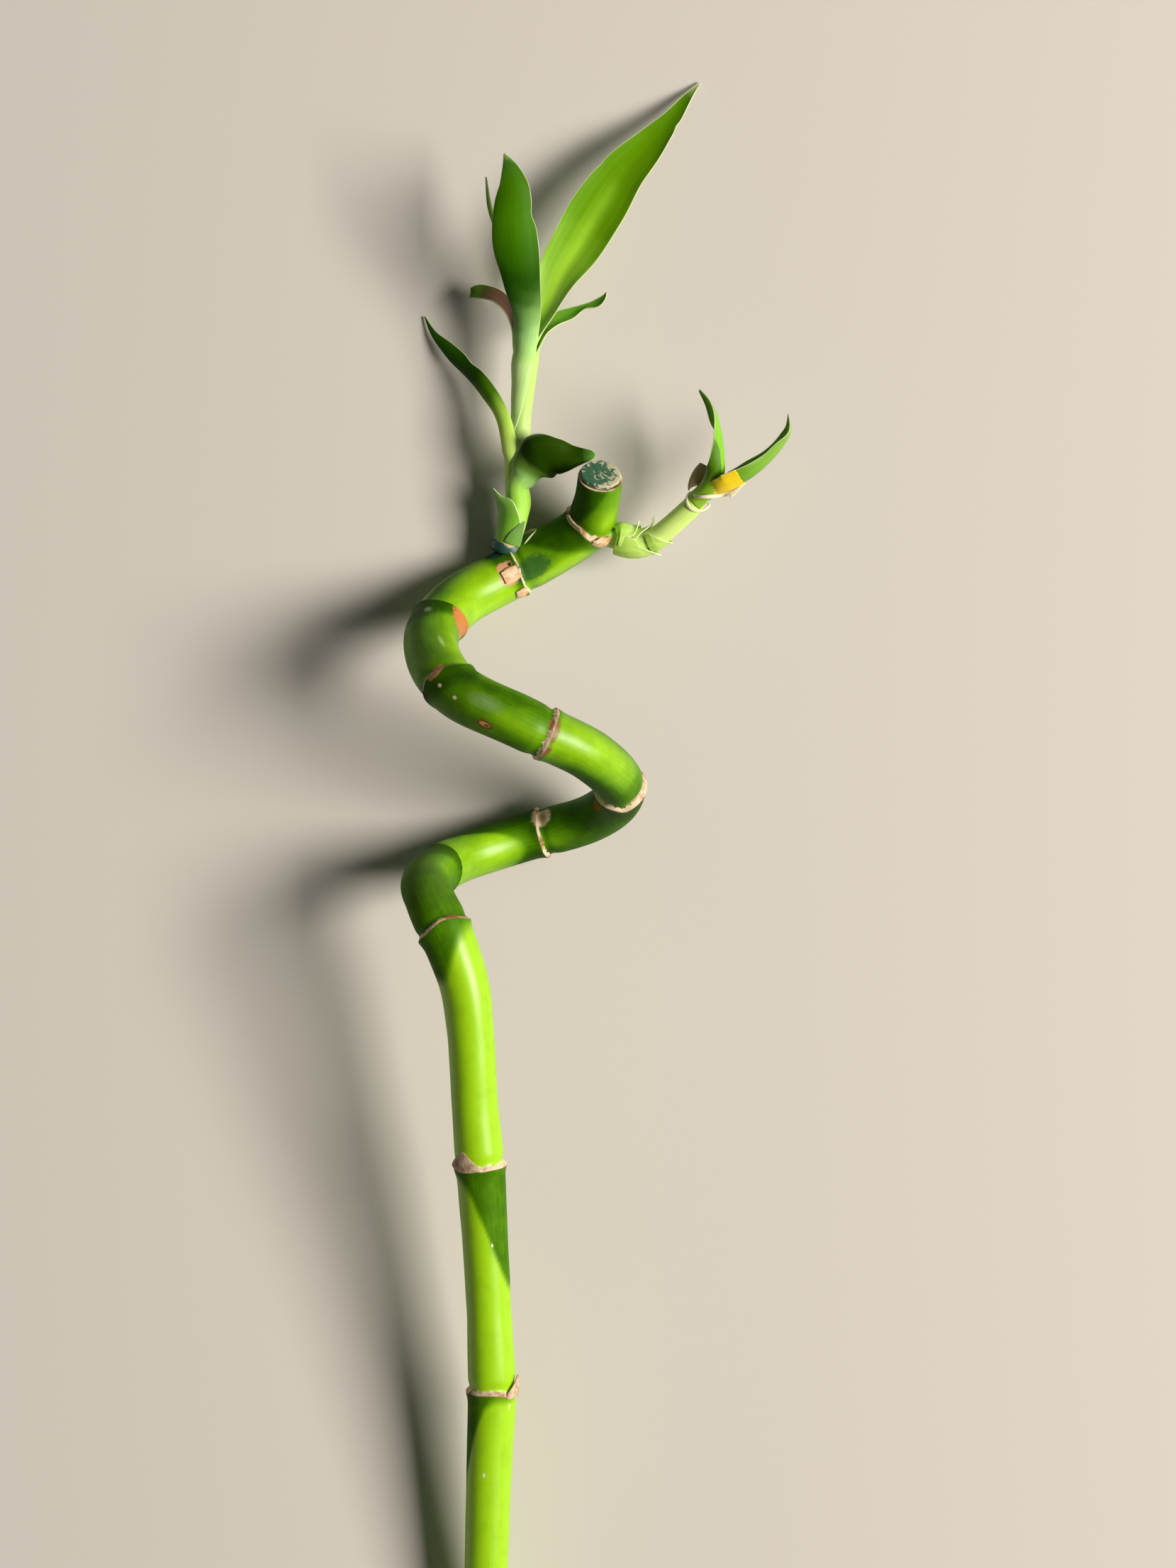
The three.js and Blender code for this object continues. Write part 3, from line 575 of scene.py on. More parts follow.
# For each scale: its node, its bark, the side that it grows on, and at each of its places on the cane's
# route its half wrap in degrees and its lift off the skin in mm
BARK_SCALES = [
    ("ring_spike", "ring_flap_1", papery, (0.94, 0, 0.33), [
        (2.98, 38, 0.3), (3.07, 34, 0.5), (3.16, 16, 0.6), (3.27, 2, 0.9),
    ]),
    ("bud_scale_low", "bud_2", papery, (-0.62, -0.2, 0.76), [
        (5.96, 40, 0.4), (6.05, 38, 0.9), (6.18, 24, 0.8), (6.31, 3, 0.3),
    ]),
    ("torn_flap", "ring_flap_10", tan_bark, (0.22, 0.02, 0.97), [
        (22.6, 13, 0.5), (22.73, 16, 0.5), (22.86, 14, 0.4),
    ]),
    ("bud_scale_mid", "bud_10", tan_bark, (0.47, -0.67, 0.57), [
        (22.7, 10, 0.4), (22.78, 13, 0.8), (22.86, 9, 0.4),
    ]),
    ("brown_flap", "ring_flap_11", papery, (-0.68, -0.13, 0.72), [
        (24.04, 28, 0.3), (24.26, 27, 0.6), (24.52, 20, 0.9),
    ]),
    ("bud_scale_top", "bud_11", tan_bark, (0.6, -0.68, 0.55), [
        (23.97, 24, 0.3), (24.1, 28, 0.9), (24.28, 16, 0.6),
    ]),
]
for name, node, bark, side, spots in BARK_SCALES:
    sheet_piece(name, node, sheet_mesh(scale_rows(side, spots), 12, 12), bark, SCALE_THICKNESS)

# The wax seal
# The grower dips the cut top in dark green wax so that it doesn't dry out. It has set in a thin lumpy
# disc, and has flaked pale on one side.

# In mm: the seal's radius, the rounding of its edge, and the width of the rings of faces that fill it
WAX_RADIUS = CANE_RADII[-1] - 0.5
WAX_ROUNDING = 0.25
WAX_INSETS, WAX_INSET = 8, 0.52


def wax_mesh():
    """The seal: a thin lumpy disc with an uneven rounded edge."""
    up = Vector(tangent_at(cane, cane_length))
    turn = up.to_track_quat("Z", "Y").to_matrix()
    bm = bmesh.new()
    bmesh.ops.create_cone(
        bm, cap_ends=True, segments=48, radius1=WAX_RADIUS, radius2=WAX_RADIUS, depth=WAX_THICKNESS)
    rims = [edge for edge in bm.edges if len({round(v.co.z, 3) for v in edge.verts}) == 1]
    bmesh.ops.bevel(
        bm, geom=rims, offset=WAX_ROUNDING, segments=3, affect="EDGES", profile=0.5, material=-1)
    caps = [face for face in bm.faces if len(face.verts) > 4]
    for _ in range(WAX_INSETS):
        bmesh.ops.inset_region(bm, faces=caps, thickness=WAX_INSET, use_even_offset=True)
    bmesh.ops.poke(bm, faces=caps)
    for vert in bm.verts:
        wobble = 1 + 0.05 * noise.noise(vert.co * 0.6)
        vert.co.x *= wobble
        vert.co.y *= wobble
        vert.co.z += 0.12 * noise.noise(vert.co * 0.9) + 0.06 * noise.noise(vert.co * 3)
        vert.co = to_frame(np.array(turn @ vert.co) + wax_centre)
    return bm


def wax_material():
    """Sealing wax: smooth and semi-gloss, dark blue-green, with a dull chalky bloom where it flaked."""
    material, tree, shader = new_material("green_sealing_wax")
    place = add(tree, "TexCoord", output="Object")
    # Flakes 1 to 2 mm across, more of them on the right of the seal
    flake = add(tree, "TexNoise", {"Vector": place, "Scale": 0.42 / MM, "Detail": 6, "Distortion": 2})
    side = add(tree, "SeparateXYZ", {"Vector": place})
    middle = to_frame(wax_centre)
    left, right = middle.x - 4 * MM, middle.x + 4 * MM
    more = add(tree, "MapRange", {0: side, 1: left, 2: right, 3: -0.12, 4: 0.1})
    chalk = add(tree, "Math", {0: flake, 1: more}, operation="ADD")
    # The rim is chipped pale all round
    out = add(tree, "VectorMath", {0: place, 1: middle}, operation="DISTANCE", output="Value")
    rim = add(tree, "MapRange", {0: out, 1: 3.6 * MM, 2: 4.8 * MM, 4: 0.12})
    chalk = add(tree, "Math", {0: chalk, 1: rim}, operation="ADD")
    chalk = add(tree, "MapRange", {0: chalk, 1: 0.54, 2: 0.6})
    colour = add(tree, "Mix", {0: chalk, 6: srgb("#34684c"), 7: srgb("#cfcaa4")}, **PAINT)
    rough = add(tree, "MapRange", {0: chalk, 3: 0.3, 4: 0.8})
    bump = add(tree, "Bump", {"Height": flake, "Strength": 0.5, "Distance": 0.3 * MM})
    fill(tree, shader, {"Base Color": colour, "Roughness": rough, "Normal": bump})
    return material


plant_piece("wax_seal", "wax_cap", wax_mesh(), wax_material())

# The main shoot's stem
# A young stem 3 mm thick that stands on the cane's last turn. The leaves' bases wrap it from top to
# bottom, so only its ends show.

MAIN_ROUTE = [
    (4.9, 288, 7.4), (5.5, 290.4, 8), (5.6, 290.8, 8.1), (6, 292, 8.5), (7.2, 297, 9.5),
    (8.2, 303.3, 10.5), (8.3, 310, 11.5), (8.3, 315.5, 12.2), (8.6, 322, 13), (9.3, 330.5, 14.2),
    (9.8, 341.5, 15.3),
]
MAIN_RADII = [4.4, 4.2, 3.6, 1.1, 1.05, 1.05, 1.5, 1.6, 1.55, 1, 1]
# A stem has no margin: its skin counts as this many mm away from one
NO_MARGIN = 3


def rod_mesh(route, radii, sides, steps):
    """A stem: a grid rolled round its route and closed at both ends."""
    total = route["length"][-1]
    shares = [0, 0, *np.linspace(0, 1, steps), 1, 1]
    scales = [0, 0.8, *[1] * steps, 0.8, 0]
    last = len(shares) - 1
    bm, (along, edge, side) = new_grid("leaf", sides, last, "along", "edge", "side")
    for vert in bm.verts:
        index = round((vert.co.y + 0.5) * last)
        length = shares[index] * total
        height = radius_at(route, radii, length) * scales[index]
        vert.co = point_round(route, (0, 0, 1), length, vert.co.x * tau, height)
        vert[along] = shares[index]
        vert[edge] = NO_MARGIN
        vert[side] = 1
    close_seam(bm)
    return bm


def leaf_material(name, stops, margin="#dfe6b4", rough=0.42, veins=0.1, stripe=None, painted_light=None, gloss=0.4):
    """Living leaf: a waxy cuticle with a soft gloss over green flesh, with fine veins side by side
    along it and a thin pale margin. The stops are its colours from base to tip. A stripe along the
    leaf is its colour, the share of the length where it has faded, its half width and its centre.
    Painted light is the colour of a lit part painted brighter, which spreads across the width from one
    margin, and the shares of the length where it starts and is full wide. The gloss is that of the blade."""
    material, tree, shader = new_material(name)
    place = add(tree, "TexCoord", output="Object")
    grid = add(tree, "UVMap", uv_map="leaf")
    keys = ("along", "edge", "side")
    share, edge, side = [add(tree, "Attribute", output="Fac", attribute_name=key) for key in keys]
    # The colours drift by up to 2 percent of the length, over clouds 6 mm across
    cloud = add(tree, "TexNoise", {"Vector": place, "Scale": 0.16 / MM, "Detail": 3})
    drift = add(tree, "MapRange", {0: cloud, 1: 0.3, 2: 0.7, 3: -0.018, 4: 0.018})
    along = add(tree, "Math", {0: share, 1: drift}, operation="ADD")
    colour = add(tree, "ValToRGB", {0: along})
    fill_ramp(colour, stops)
    if stripe:
        tint, faded, half, centre = stripe
        away = add(tree, "Math", {0: side, 1: centre}, operation="SUBTRACT")
        away = add(tree, "Math", {0: away}, operation="ABSOLUTE")
        near = add(tree, "MapRange", {0: away, 1: half, 2: 0})
        low = add(tree, "MapRange", {0: along, 1: faded, 2: faded * 0.45})
        amount = add(tree, "Math", {0: near, 1: low}, operation="MULTIPLY")
        colour = add(tree, "Mix", {0: amount, 6: colour, 7: srgb(tint)}, **PAINT)
    # Painted light: a brighter colour laid over part of the width, standing in for light that falls on it
    if painted_light:
        tint, start, full = painted_light
        reach = add(tree, "MapRange", {0: along, 1: start, 2: full, 3: -1, 4: 1})
        past = add(tree, "Math", {0: reach, 1: side}, operation="SUBTRACT")
        amount = add(tree, "MapRange", {0: past, 1: -0.06, 2: 0.06})
        colour = add(tree, "Mix", {0: amount, 6: colour, 7: srgb(tint)}, **PAINT)
    # Veins side by side: about 60 fine ones and 15 broad faint ones
    vein = fibres(tree, grid, 60, 2, 3)
    band = fibres(tree, grid, 15, 1, 1)
    both = add(tree, "Math", {0: vein, 1: band}, operation="ADD")
    deep = add(tree, "MapRange", {0: both, 1: 0.7, 2: 1.3, 3: 1 - veins, 4: 1 + veins})
    colour = add(tree, "Mix", {0: 1, 6: colour, 7: deep}, blend_type="MULTIPLY", **PAINT)
    # The pale margin is 0.1 mm wide and is gone by 0.22 mm
    pale = add(tree, "MapRange", {0: edge, 1: 0.22, 2: 0.1})
    colour = add(tree, "Mix", {0: pale, 6: colour, 7: srgb(margin)}, **PAINT)
    bump = add(tree, "Bump", {"Height": vein, "Strength": 0.3, "Distance": 0.1 * MM})
    # The sheath at the base is glossier than the blade
    sheen = add(tree, "MapRange", {0: along, 1: 0.2, 2: 0.4, 3: 0.5, 4: gloss})
    fill(tree, shader, {
        "Base Color": colour, "Roughness": rough, "Normal": bump, "Specular IOR Level": sheen,
    })
    return material


main_stem = smooth_route(MAIN_ROUTE)
# Its foot is still dark with wax, and a dry pale ring stands over that
young_stem = leaf_material("young_main_stem", [
    (0, "#28504a"), (0.045, "#2c5a48"), (0.052, "#e4c8a0"), (0.068, "#e4c8a0"), (0.08, "#86b85a"),
    (1, "#a9d878"),
])
plant_piece("main_shoot_stem", "main_stem", rod_mesh(main_stem, MAIN_RADII, 24, 60), young_stem)

# The main shoot's leaves
# Each leaf is one sheet a third of a millimetre thick: a pale base that wraps the stem, and a blade
# that spreads from it. The older leaves stand outside the younger ones.

LEAF_THICKNESS = 0.3
LEAF_A = leaf_rows(main_stem, [(0.12, 2.2, 78, 165)], [
    (6.1, 299.5, 10.5, 2.4, 62, (0.5, -0.1, -0.85)), (5.7, 304, 11.3, 2.6, 62, (0.5, 0, -0.85)),
    (5.5, 307.7, 12.7, 2.6, 62, (0.5, 0, -0.85)), (5.6, 312, 14.8, 2.5, 58, (0.3, 0, -0.95)),
    (4.6, 317.3, 14.8, 2.3, 54, (0.3, 0.2, -0.9)), (2.4, 323.2, 13, 2.4, 50, (0.4, 0.3, -0.88)),
    (-1.4, 328.6, 10.2, 3, 45, (0.5, 0.4, -0.75)), (-5.6, 333.5, 7.4, 2.7, 42, (0.45, 0.4, -0.8)),
    (-9.8, 338.1, 4.8, 2, 40, (0.3, 0.25, -0.9)), (-13.3, 342, 2.3, 1, 35, (0.3, 0.15, -0.9)),
    (-15.7, 346.7, 0.5, 0.2, 30, (0.4, 0.2, -0.9)),
])
LEAF_B = leaf_rows(main_stem, [
    (0.07, 2.7, 138, 62), (0.16, 2.85, 86, 62), (0.23, 3, 80, 68),
], [
    (8.3, 303.4, 14.2, 3.9, 78, (-0.24, 0.07, -0.96)), (9.7, 305.6, 15.2, 4.9, 70, (-0.34, 0.18, -0.92)),
    (11.6, 308, 16.8, 6.7, 60, (-0.18, 0.18, -0.97)), (14.3, 309.9, 18, 7.7, 50, (-0.22, 0.49, -0.84)),
    (18, 310.8, 18.9, 5.1, 38, (-0.06, 0.38, -0.92)), (21.2, 311.1, 19.2, 3.1, 32, (0, -0.05, -1)),
    (23.9, 311.3, 19.2, 2, 28, (0, -0.1, -1)), (26.3, 311.5, 19, 1, 25, (0, 0, -1)),
    (26.7, 311.6, 18.9, 0.4, 25, (0, 0, -1)),
])
LEAF_C = leaf_rows(main_stem, [
    (0.3, 2.3, 60, 190), (0.44, 2.6, 66, 190), (0.57, 2.65, 66, 190),
    (0.66, 2.7, 62, 157), (0.78, 3.1, 70, 140), (0.86, 3.5, 72, 131),
], [
    (8.7, 337.5, 18.8, 3.9, 68, (0.3, 0, -0.9)), (9.6, 344.5, 20.6, 4, 58, (0.1, 0.1, -1)),
    (9.3, 350, 22.6, 4.6, 46, (0, 0.15, -1)), (8.3, 356, 25, 5.4, 40, (0, 0.2, -1)),
    (7.3, 361.5, 26.8, 6, 36, (0, 0.15, -1)), (6.8, 367, 28.2, 5.8, 34, (0, 0.1, -1)),
    (6.5, 372, 29.2, 5, 32, (0, 0, -1)), (6.8, 377, 29.7, 3.9, 30, (0, -0.1, -1)),
    (5.8, 381.6, 29.4, 2.1, 26, (0, -0.1, -1)), (4.4, 385.2, 28.8, 0.1, 25, (0, -0.1, -1)),
])
LEAF_D = leaf_rows(main_stem, [
    (0.78, 1.7, 115, -25), (0.87, 2.05, 110, -40), (0.95, 2.5, 95, -50),
], [
    (14.6, 348.2, 14, 3.9, 48, (-0.3, 0.15, 1)), (17.5, 355.8, 14.6, 5.5, 34, (-0.12, 0.1, 1)),
    (22.3, 363.7, 15, 6.8, 28, (-0.02, 0.05, 1)), (27.5, 372.2, 14.2, 7.1, 25, (0, 0.2, 1)),
    (33.2, 380.8, 12.4, 6.1, 25, (0, 0.3, 1)), (39.8, 388.2, 9.4, 4.6, 28, (0, 0.4, 1)),
    (45.4, 394.9, 6, 2.6, 28, (0, 0.4, 1)), (49.6, 400.8, 2.6, 1.3, 26, (0, 0.4, 1)),
    (53, 405, 0.4, 0.1, 25, (0, 0.4, 1)),
])
LEAF_E = leaf_rows(main_stem, [(0.74, 2.9, 22, 246), (0.86, 3.3, 24, 240)], [
    (7.4, 338, 11.6, 1.5, 26, (0.6, 0.1, 0.8)), (7, 343.4, 10.4, 1.7, 28, (0.6, 0.3, 0.8)),
    (5.3, 347.4, 9.4, 2, 30, (0.5, 0.6, 0.7)), (2.7, 350.6, 8.4, 2.4, 34, (0.25, 0.55, 0.8)),
    (0.2, 351.8, 7.4, 2.3, 36, (0.15, 0.45, 0.88)), (-2.6, 352.2, 6.2, 2.2, 34, (0.15, 0.45, 0.88)),
    (-4.3, 352, 5.2, 1.6, 30, (0.15, 0.45, 0.88)),
])
LEAF_F = leaf_rows(main_stem, [
    (0.3, 1.9, 120, 15), (0.44, 2.25, 130, 15), (0.57, 2.25, 130, 15),
    (0.66, 2.3, 110, -5), (0.78, 2.65, 100, -15), (0.86, 3.05, 92, -20),
], [
    (12.9, 338.3, 13.6, 2.3, 45, (-0.7, 0.5, 0.3)), (14.2, 342, 12, 2.4, 38, (-0.5, 0.5, 0.6)),
    (17, 345, 10.6, 2.3, 32, (-0.2, 0.55, 0.8)), (20.8, 346.7, 10.2, 1.8, 30, (-0.1, 0.5, 0.85)),
    (24.2, 348.4, 10.8, 1, 28, (-0.1, 0.65, 0.7)), (27.4, 349.2, 11.6, 1.4, 28, (-0.2, 0.5, 0.8)),
    (29, 350.6, 12.2, 0.9, 28, (-0.3, 0.5, 0.8)), (29.7, 352, 12.6, 0.1, 28, (-0.3, 0.5, 0.8)),
])
LEAF_G = leaf_rows(main_stem, [], [
    (9.6, 342.6, 15.5, 1.5, 75, (0.1, 0, -1)), (8.3, 348.6, 17, 1.5, 70, (-0.1, 0, -1)),
    (5.9, 357.2, 18.8, 1.4, 55, (-0.4, 0, -0.9)), (3, 366, 20.6, 0.9, 45, (-0.5, 0, -0.85)),
    (0.8, 372.6, 21.8, 0.7, 40, (-0.5, 0, -0.85)), (-0.2, 379.8, 22.4, 0.15, 40, (-0.5, 0, -0.85)),
])
# For each leaf: its node, its rows, the ruffle of its margins in mm, its notches, its colours from base
# to tip, and its pale stripe: a pale margin on the low right leaf, partly painted sheen on the front
# leaf and a painted highlight on the tall leaf
MAIN_LEAVES = [
    ("low_left_leaf", "leaf_a", LEAF_A, 0.1, [(-1, 0.7, 0.4, 2)], [
        (0, "#b4e05c"), (0.3, "#d4f878"), (0.45, "#bcec58"), (0.55, "#5c9414"), (0.66, "#264e02"),
        (0.85, "#2c5c04"), (1, "#2a5810"),
    ], None),
    # This leaf's sheath greens up to 0.45 are lightened with painted light, with a painted sheen where it
    # bends into the blade, and its near-black blade greens from 0.58 are darkened with painted shade
    ("low_right_leaf", "leaf_b", LEAF_B, 0.05, [(-1, 0.47, -1.6, 1.4)], [
        (0, "#b8ec60"), (0.3, "#b8f458"), (0.38, "#b4f064"), (0.45, "#a4d878"), (0.51, "#6c9438"),
        (0.58, "#223e02"), (0.8, "#2c4a02"), (0.92, "#244002"), (1, "#5c9430"),
    ], ("#f4ffe0", 0.7, 0.14, 1)),
    # The front leaf's palest sheath green at 0.34 is raised with painted light, its bluish greens at 0.45
    # and 0.5 are partly a painted sheen where the sheath turns into the blade, and its pale stripe is
    # partly painted sheen
    ("front_leaf", "leaf_c", LEAF_C, 0.12, [(-1, 0.81, 0.7, 2.2)], [
        (0, "#c8f084"), (0.34, "#e0ffac"), (0.4, "#b8ec80"), (0.45, "#94c878"), (0.5, "#6a9c4c"),
        (0.55, "#346414"), (0.61, "#245204"), (0.72, "#3a7002"), (0.8, "#467e02"), (0.9, "#437802"),
        (0.96, "#40701c"), (1, "#8fae5c"),
    ], ("#ccf890", 0.6, 1.5, -1)),
    # The pale stripe down the middle of this leaf's channel is a painted highlight
    ("tall_leaf", "leaf_d", LEAF_D, 0.1, [(1, 0.84, 0.4, 1.2), (-1, 0.62, 0.3, 1.5)], [
        (0, "#c8f480"), (0.2, "#b0e058"), (0.33, "#90c830"), (0.46, "#6ca408"), (0.75, "#5e9002"),
        (0.94, "#4a7808"), (1, "#a5b878"),
    ], ("#b8f040", 0.66, 0.42, 0)),
    # The purple-brown over most of this leaf is painted shade on the face turned from the light
    ("curled_leaf", "leaf_e", LEAF_E, 0, [], [
        (0, "#5a6a3c"), (0.35, "#6c5044"), (0.8, "#7c5a4c"), (0.88, "#60682c"), (0.94, "#6c9c2c"),
        (1, "#5c8c24"),
    ], None),
    ("small_right_leaf", "leaf_f", LEAF_F, 0.1, [], [
        (0, "#ccf08c"), (0.56, "#c4ec7c"), (0.66, "#88b83c"), (0.78, "#68a42c"), (1, "#70a834"),
    ], None),
    # This thin leaf's pale greens are lightened with painted light against the shadow that the front leaf
    # casts on it
    ("thin_back_leaf", "leaf_g", LEAF_G, 0, [], [(0, "#a8e460"), (0.6, "#ccf878"), (1, "#dcff8c")], None),
]
for name, node, rows, ruffle, notches, stops, stripe in MAIN_LEAVES:
    sheet = sheet_mesh(rows, 20, 110, ruffle, notches)
    skin = leaf_material("living_" + name, stops, stripe=stripe, gloss=0.05)
    sheet_piece(name, node, sheet, skin, LEAF_THICKNESS)

# The bracts at the main shoot's foot
# Short scale leaves that wrapped the bud and grow round the stem's foot: two are still green, with pale
# dry margins, and one is dead.

BRACT_LEFT = leaf_rows(main_stem, [
    (0.03, 3.7, 95, 165), (0.09, 3.9, 94, 163), (0.14, 4.2, 90, 160), (0.19, 4.7, 70, 162),
], [
    (2.15, 300.9, 11.6, 3.3, 68, (0.9, 0, -0.35)), (1.85, 302.2, 12.1, 1.5, 55, (0.88, 0, -0.45)),
    (1.5, 303.5, 12.6, 0.1, 30, (0.88, 0, -0.45)),
])
BRACT_FRONT = leaf_rows(main_stem, [
    (0.05, 4.2, 30, 78), (0.09, 4.35, 25, 74), (0.13, 4.5, 13, 68), (0.165, 4.8, 2, 60),
])
BRACT_DRY = leaf_rows(main_stem, [
    (0.04, 4.4, 50, -5), (0.08, 4.9, 46, -5), (0.115, 5.4, 28, -5), (0.13, 5.7, 6, -5),
])
green_stops = [(0, "#8ccc3c"), (0.5, "#80c034"), (1, "#90c064")]
green = leaf_material("green_bract", green_stops, margin="#e4f0c8")
blue_green = leaf_material("blue_green_bract", [(0, "#7cb048"), (1, "#6c9850")], margin="#a4b88c")
# The dry bract's pale olive is partly its own colour, lightened with painted light where the stub shades it
olive = leaf_material("dry_olive_bract", [(0, "#b8b880"), (1, "#d4cca0")], margin="#ece0c0", rough=0.6)
for name, node, slot, sheet, skin in (
    ("left_bract", "bract_left", "sheath", sheet_mesh(BRACT_LEFT, 20, 40), green),
    ("front_bract", "bract_front", "sheath", sheet_mesh(BRACT_FRONT, 14, 20), blue_green),
    ("dry_bract", "bract_dry", "dry", sheet_mesh(BRACT_DRY, 14, 16), olive),
):
    sheet_piece(name, node, sheet, skin, LEAF_THICKNESS)

# The side shoot
# A younger shoot that breaks from the last ring: a pale yellow-green stem 5 mm thick, three short bracts
# at its foot, and at its top the torn remains of a sheath round two small leaves.

SIDE_ROUTE = [
    (30, 291.4, 12.5), (34, 290.6, 13), (37.8, 290.1, 13.5), (41.5, 291.2, 14.5), (45, 293.7, 16),
    (48.5, 296.8, 17.5), (51.8, 299.9, 19), (52.6, 300.6, 19.4), (56.7, 304.1, 21.6),
]
SIDE_RADII = [2.6, 2.6, 2.6, 2.65, 2.65, 2.6, 2.55, 1.2, 0.9]
side_stem = smooth_route(SIDE_ROUTE)
# The side stem's very pale greens are partly its own colour and partly painted light, which makes up for
# the light that its upward slope turns away
pale_stops = [(0, "#dcff80"), (0.5, "#e4ff90"), (1, "#d4f870")]
side_skin = leaf_material("young_side_stem", pale_stops, gloss=0.5)
plant_piece("side_shoot_stem", "side_stem", rod_mesh(side_stem, SIDE_RADII, 32, 60), side_skin)

# For each bract: its node, the side of the stem that its midrib lies on, and its rows
UNDER = (0.1, -1, -0.1)
OVER = (-0.1, 1, 0.05)
SIDE_BRACTS = [
    ("lower_side_bract", "side_bract_1", UNDER, [
        (0.06, 3.9, 110), (0.12, 4.15, 112), (0.19, 4.1, 112), (0.25, 3.8, 96), (0.285, 3.6, 66),
        (0.32, 3.7, 30), (0.35, 4.6, 2),
    ]),
    ("upper_side_bract", "side_bract_2", OVER, [
        (0.03, 3.5, 112), (0.08, 4.3, 112), (0.14, 4.2, 96), (0.19, 4, 66), (0.235, 4.4, 22),
        (0.262, 5.4, 2),
    ]),
    ("far_side_bract", "side_bract_3", UNDER, [
        (0.31, 3, 124), (0.36, 3.15, 116), (0.4, 3.1, 84), (0.43, 3.2, 36), (0.45, 3.6, 2),
    ]),
    ("thin_side_bract", None, OVER, [
        (0.2, 3.4, 104), (0.24, 3.3, 76), (0.28, 3.2, 50), (0.36, 3.2, 24), (0.42, 3.8, 10),
        (0.455, 4.6, 2),
    ]),
]
bract_stops = [(0, "#b0d850"), (0.5, "#ccf470"), (1, "#d8fc84")]
bract_skin = leaf_material("side_bract", bract_stops, margin="#fbf2cc", veins=0.14)
for name, node, side, rows in SIDE_BRACTS:
    sheet = sheet_mesh(leaf_rows(side_stem, [(*row, side) for row in rows]), 28, 30)
    sheet_piece(name, node, sheet, bract_skin, LEAF_THICKNESS)

# The cream collar
# The dry rim that a fallen sheath left round the side stem, open at the back. It dips towards the
# viewer, and is widest there.

# Its place along the stem, its dip, its tilt and its size in mm, and its turn in degrees
COLLAR_LENGTH = 27
COLLAR_DIP, COLLAR_TILT = 2.3, 0.7
COLLAR_RADIUS = 2.85
COLLAR_WIDTH = 0.5
COLLAR_THICKNESS = 0.55
COLLAR_TURN = 290


def collar_mesh():
    """The rim: a narrow strip bent round the stem, lower on its front than at its sides."""
    bm, (along, edge) = new_grid("leaf", 48, 3, "along", "edge")
    for vert in bm.verts:
        angle = radians(vert.co.x * COLLAR_TURN)
        length = COLLAR_LENGTH - COLLAR_DIP * max(0, cos(angle - 0.2)) + COLLAR_TILT * sin(angle)
        width = COLLAR_WIDTH * (1.2 + 0.5 * cos(angle - 0.4))
        length += vert.co.y * width
        vert.co = point_round(side_stem, (0, 0, 1), length, angle, COLLAR_RADIUS)
        vert[along] = 0.5
        vert[edge] = NO_MARGIN
    return bm


cream = leaf_material("cream_sheath_edge", [(0, "#f2ecc4"), (1, "#f6f2d0")], rough=0.6, veins=0.05)
sheet_piece("cream_collar", "cream_ring", collar_mesh(), cream, COLLAR_THICKNESS)

# The side shoot's leaves
# Two small folded leaves, a dry brown sheath tip behind them, and a yellowed rag of old sheath that
# still clings to the base of the right leaf, with a ragged cream rim and a loose strand.

DRY_SCALE = leaf_rows(side_stem, [(0.84, 3.6, 26, (-0.8, 0.5, 0.1))], [
    (50.9, 304.2, 19.6, 1.8, 30, (0.5, -0.3, -0.8)), (52.2, 307, 19.6, 2.1, 30, (0.5, -0.3, -0.8)),
    (53.4, 309.2, 19.6, 1.2, 25, (0.5, -0.3, -0.8)),
])
brown_stops = [(0, "#c8b080"), (1, "#a88c6c")]
brown = leaf_material("dry_brown_sheath", brown_stops, margin="#dcc8a0", rough=0.6, veins=0.3)
sheet_piece("dry_sheath_tip", "dry_scale", sheet_mesh(DRY_SCALE, 12, 20), brown, SCALE_THICKNESS)

LEAF_H = leaf_rows(side_stem, [(0.79, 2.7, 84, (-0.5, 0.3, 0.8)), (0.9, 2.75, 70, (-0.5, 0.3, 0.8))], [
    (56.9, 307.6, 25.4, 3, 58, (-0.4, 0.1, -0.8)), (58, 313.8, 25.9, 3.3, 60, (-0.8, 0.1, -0.3)),
    (57.1, 319.2, 26.4, 3.6, 55, (-0.8, 0, 0.1)), (55.2, 323.7, 26.4, 2.2, 46, (-0.8, -0.2, 0.3)),
    (52.4, 327.2, 26.2, 0.5, 35, (-0.8, -0.2, 0.4)),
])
BELOW = (0.35, -0.75, 0.4)
LEAF_I = leaf_rows(side_stem, [(0.86, 1.7, 78, BELOW), (0.93, 1.9, 82, BELOW)], [
    (57.2, 302, 21.6, 5, 88, (-0.4, 0.78, -0.05)), (59.6, 302.6, 22, 6.6, 86, (-0.45, 0.75, 0)),
    (63, 304.4, 22.8, 6.5, 84, (-0.45, 0.75, 0.05)), (66, 306.3, 23.4, 6.1, 84, (-0.5, 0.7, 0.1)),
    (70.1, 310, 24.2, 4.4, 82, (-0.6, 0.6, 0.1)), (73.1, 313.7, 25, 3.5, 78, (-0.75, 0.45, 0.1)),
    (74.7, 317.1, 25.8, 2.2, 62, (-0.9, 0.15, 0.3)), (74.2, 321.3, 27, 0.1, 35, (-0.9, -0.2, 0.3)),
])
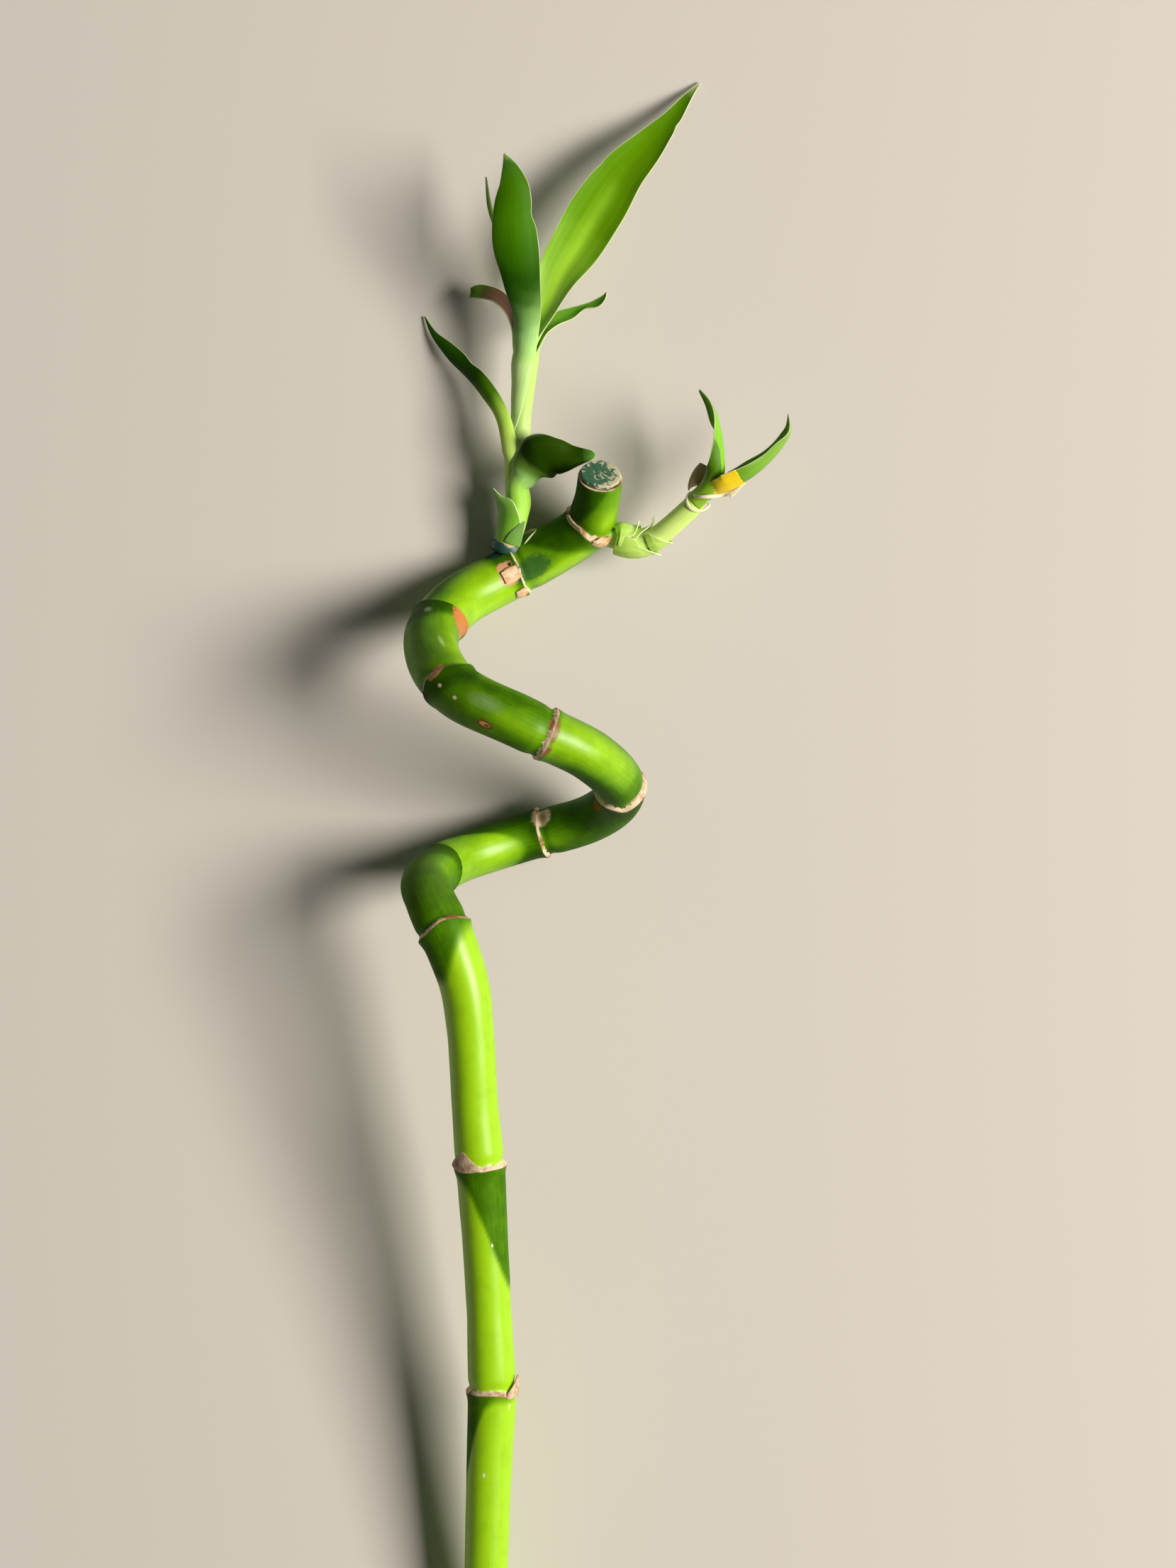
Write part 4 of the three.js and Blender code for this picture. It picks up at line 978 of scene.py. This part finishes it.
# For each leaf: its node, its rows, its painted light, and its colours from base to tip
SIDE_LEAVES = [
    # On the upward leaf the bright green that spreads across from one margin is painted light on its lit
    # half
    ("upward_leaf", "leaf_h", LEAF_H, ("#8cd034", 0.2, 0.6), [
        (0, "#a8d840"), (0.16, "#84b420"), (0.3, "#507c08"), (0.5, "#5c9410"), (0.7, "#74b430"),
        (1, "#84c048"),
    ]),
    ("right_leaf", "leaf_i", LEAF_I, None, [
        (0, "#84bc2c"), (0.3, "#70a81c"), (0.7, "#88bc3c"), (1, "#90bc50"),
    ]),
]
for name, node, rows, painted_light, stops in SIDE_LEAVES:
    skin = leaf_material("living_" + name, stops, painted_light=painted_light)
    sheet_piece(name, node, sheet_mesh(rows, 20, 70), skin, LEAF_THICKNESS)

RAG_THICKNESS = 0.25
golden_stops = [(0, "#f8ecb0"), (0.06, "#f8e080"), (0.12, "#ffe024"), (0.5, "#ffd808")]
dry_edge = ("#f8ecbc", 3, 0.35, -0.12)
golden = leaf_material(
    "yellowed_sheath", golden_stops, margin="#f4e8b4", rough=0.5, veins=0.06, stripe=dry_edge)
rag = sheet_mesh(LEAF_I, 20, 24, part=(-0.12, 1.02, 0.08, 0.34), lift=0.3, fray=0.05)
sheet_piece("yellow_sheath", "torn_sheath", rag, golden, RAG_THICKNESS)

STRAND_ROUTE = [(62.9, 303.6, 24.4), (61.8, 302.4, 24.6), (60.6, 301.4, 24.6), (59.9, 301.1, 24.4)]
strand = rod_mesh(smooth_route(STRAND_ROUTE), [0.12, 0.2, 0.28, 0.4], 10, 16)
plant_piece("loose_strand", None, strand, cream)

RIM_ROUTE = [
    (50.9, 301.6, 20.6), (51.6, 301, 23), (53, 300.9, 24.3), (54.9, 301, 24.2), (57, 301.2, 23),
    (59.6, 301.8, 22.6), (62, 303.2, 23.2), (63.6, 304.3, 23.6),
]
rim = rod_mesh(smooth_route(RIM_ROUTE), [0.25, 0.4, 0.45, 0.6, 0.5, 0.65, 0.45, 0.15], 10, 40)
plant_piece("torn_sheath_rim", None, rim, cream)

# The floor, the lights and the camera
# The plant lies on a plain pale floor. One large soft light stands at its right, and the camera looks
# straight down on it from 2 m.

# The picture's height in pixels, its scale, the camera's height, its sensor and the point that it looks
# at, in mm, and the metres that the floor reaches each way
PHOTO_HEIGHT = 2212
PIXELS_PER_MM = 5.75
CAMERA_HEIGHT = 2000
SENSOR = 36
VIEW_CENTRE = (24.957, 230.261, 30)
FLOOR_REACH = 3

bm = bmesh.new()
bmesh.ops.create_grid(bm, x_segments=1, y_segments=1, size=FLOOR_REACH)
floor_material, floor_tree, floor_shader = new_material("matt_floor_board")
fill(floor_tree, floor_shader, {"Base Color": srgb("#dcd6ce"), "Roughness": 0.9})
floor = smooth_piece("floor", bm, floor_material)

plant_centre = to_frame(VIEW_CENTRE)


def area_light(name, direction, distance, size, power, colour):
    """A square soft light that looks at the plant from a direction; distance and size are in metres."""
    light = bpy.data.lights.new(name, "AREA")
    light.size = size
    light.energy = power
    light.color = srgb(colour)[:3]
    lamp = new_object(name, light)
    way = Vector(direction).normalized()
    lamp.location = plant_centre + way * distance
    lamp.rotation_euler = way.to_track_quat("Z", "Y").to_euler()


area_light("key_light", (0.72, -0.01, 0.69), 2.6, 1.2, 94, "#fff9f0")
area_light("fill_light", (-0.5, 0.5, 0.9), 2.6, 1.2, 0.8, "#f4f8ff")

world = bpy.data.worlds.new("studio")
world.use_nodes = True
background = world.node_tree.nodes["Background"]
fill(world.node_tree, background, {"Color": srgb("#eceae8"), "Strength": 0.045})
bpy.context.scene.world = world
bpy.context.scene.view_settings.view_transform = "Standard"

camera = new_object("camera", bpy.data.cameras.new("camera"))
camera.location = plant_centre + Vector((0, 0, CAMERA_HEIGHT * MM))
camera.data.sensor_width = SENSOR
camera.data.lens = SENSOR * CAMERA_HEIGHT * PIXELS_PER_MM / PHOTO_HEIGHT
camera.data.clip_end = 10
bpy.context.scene.camera = camera
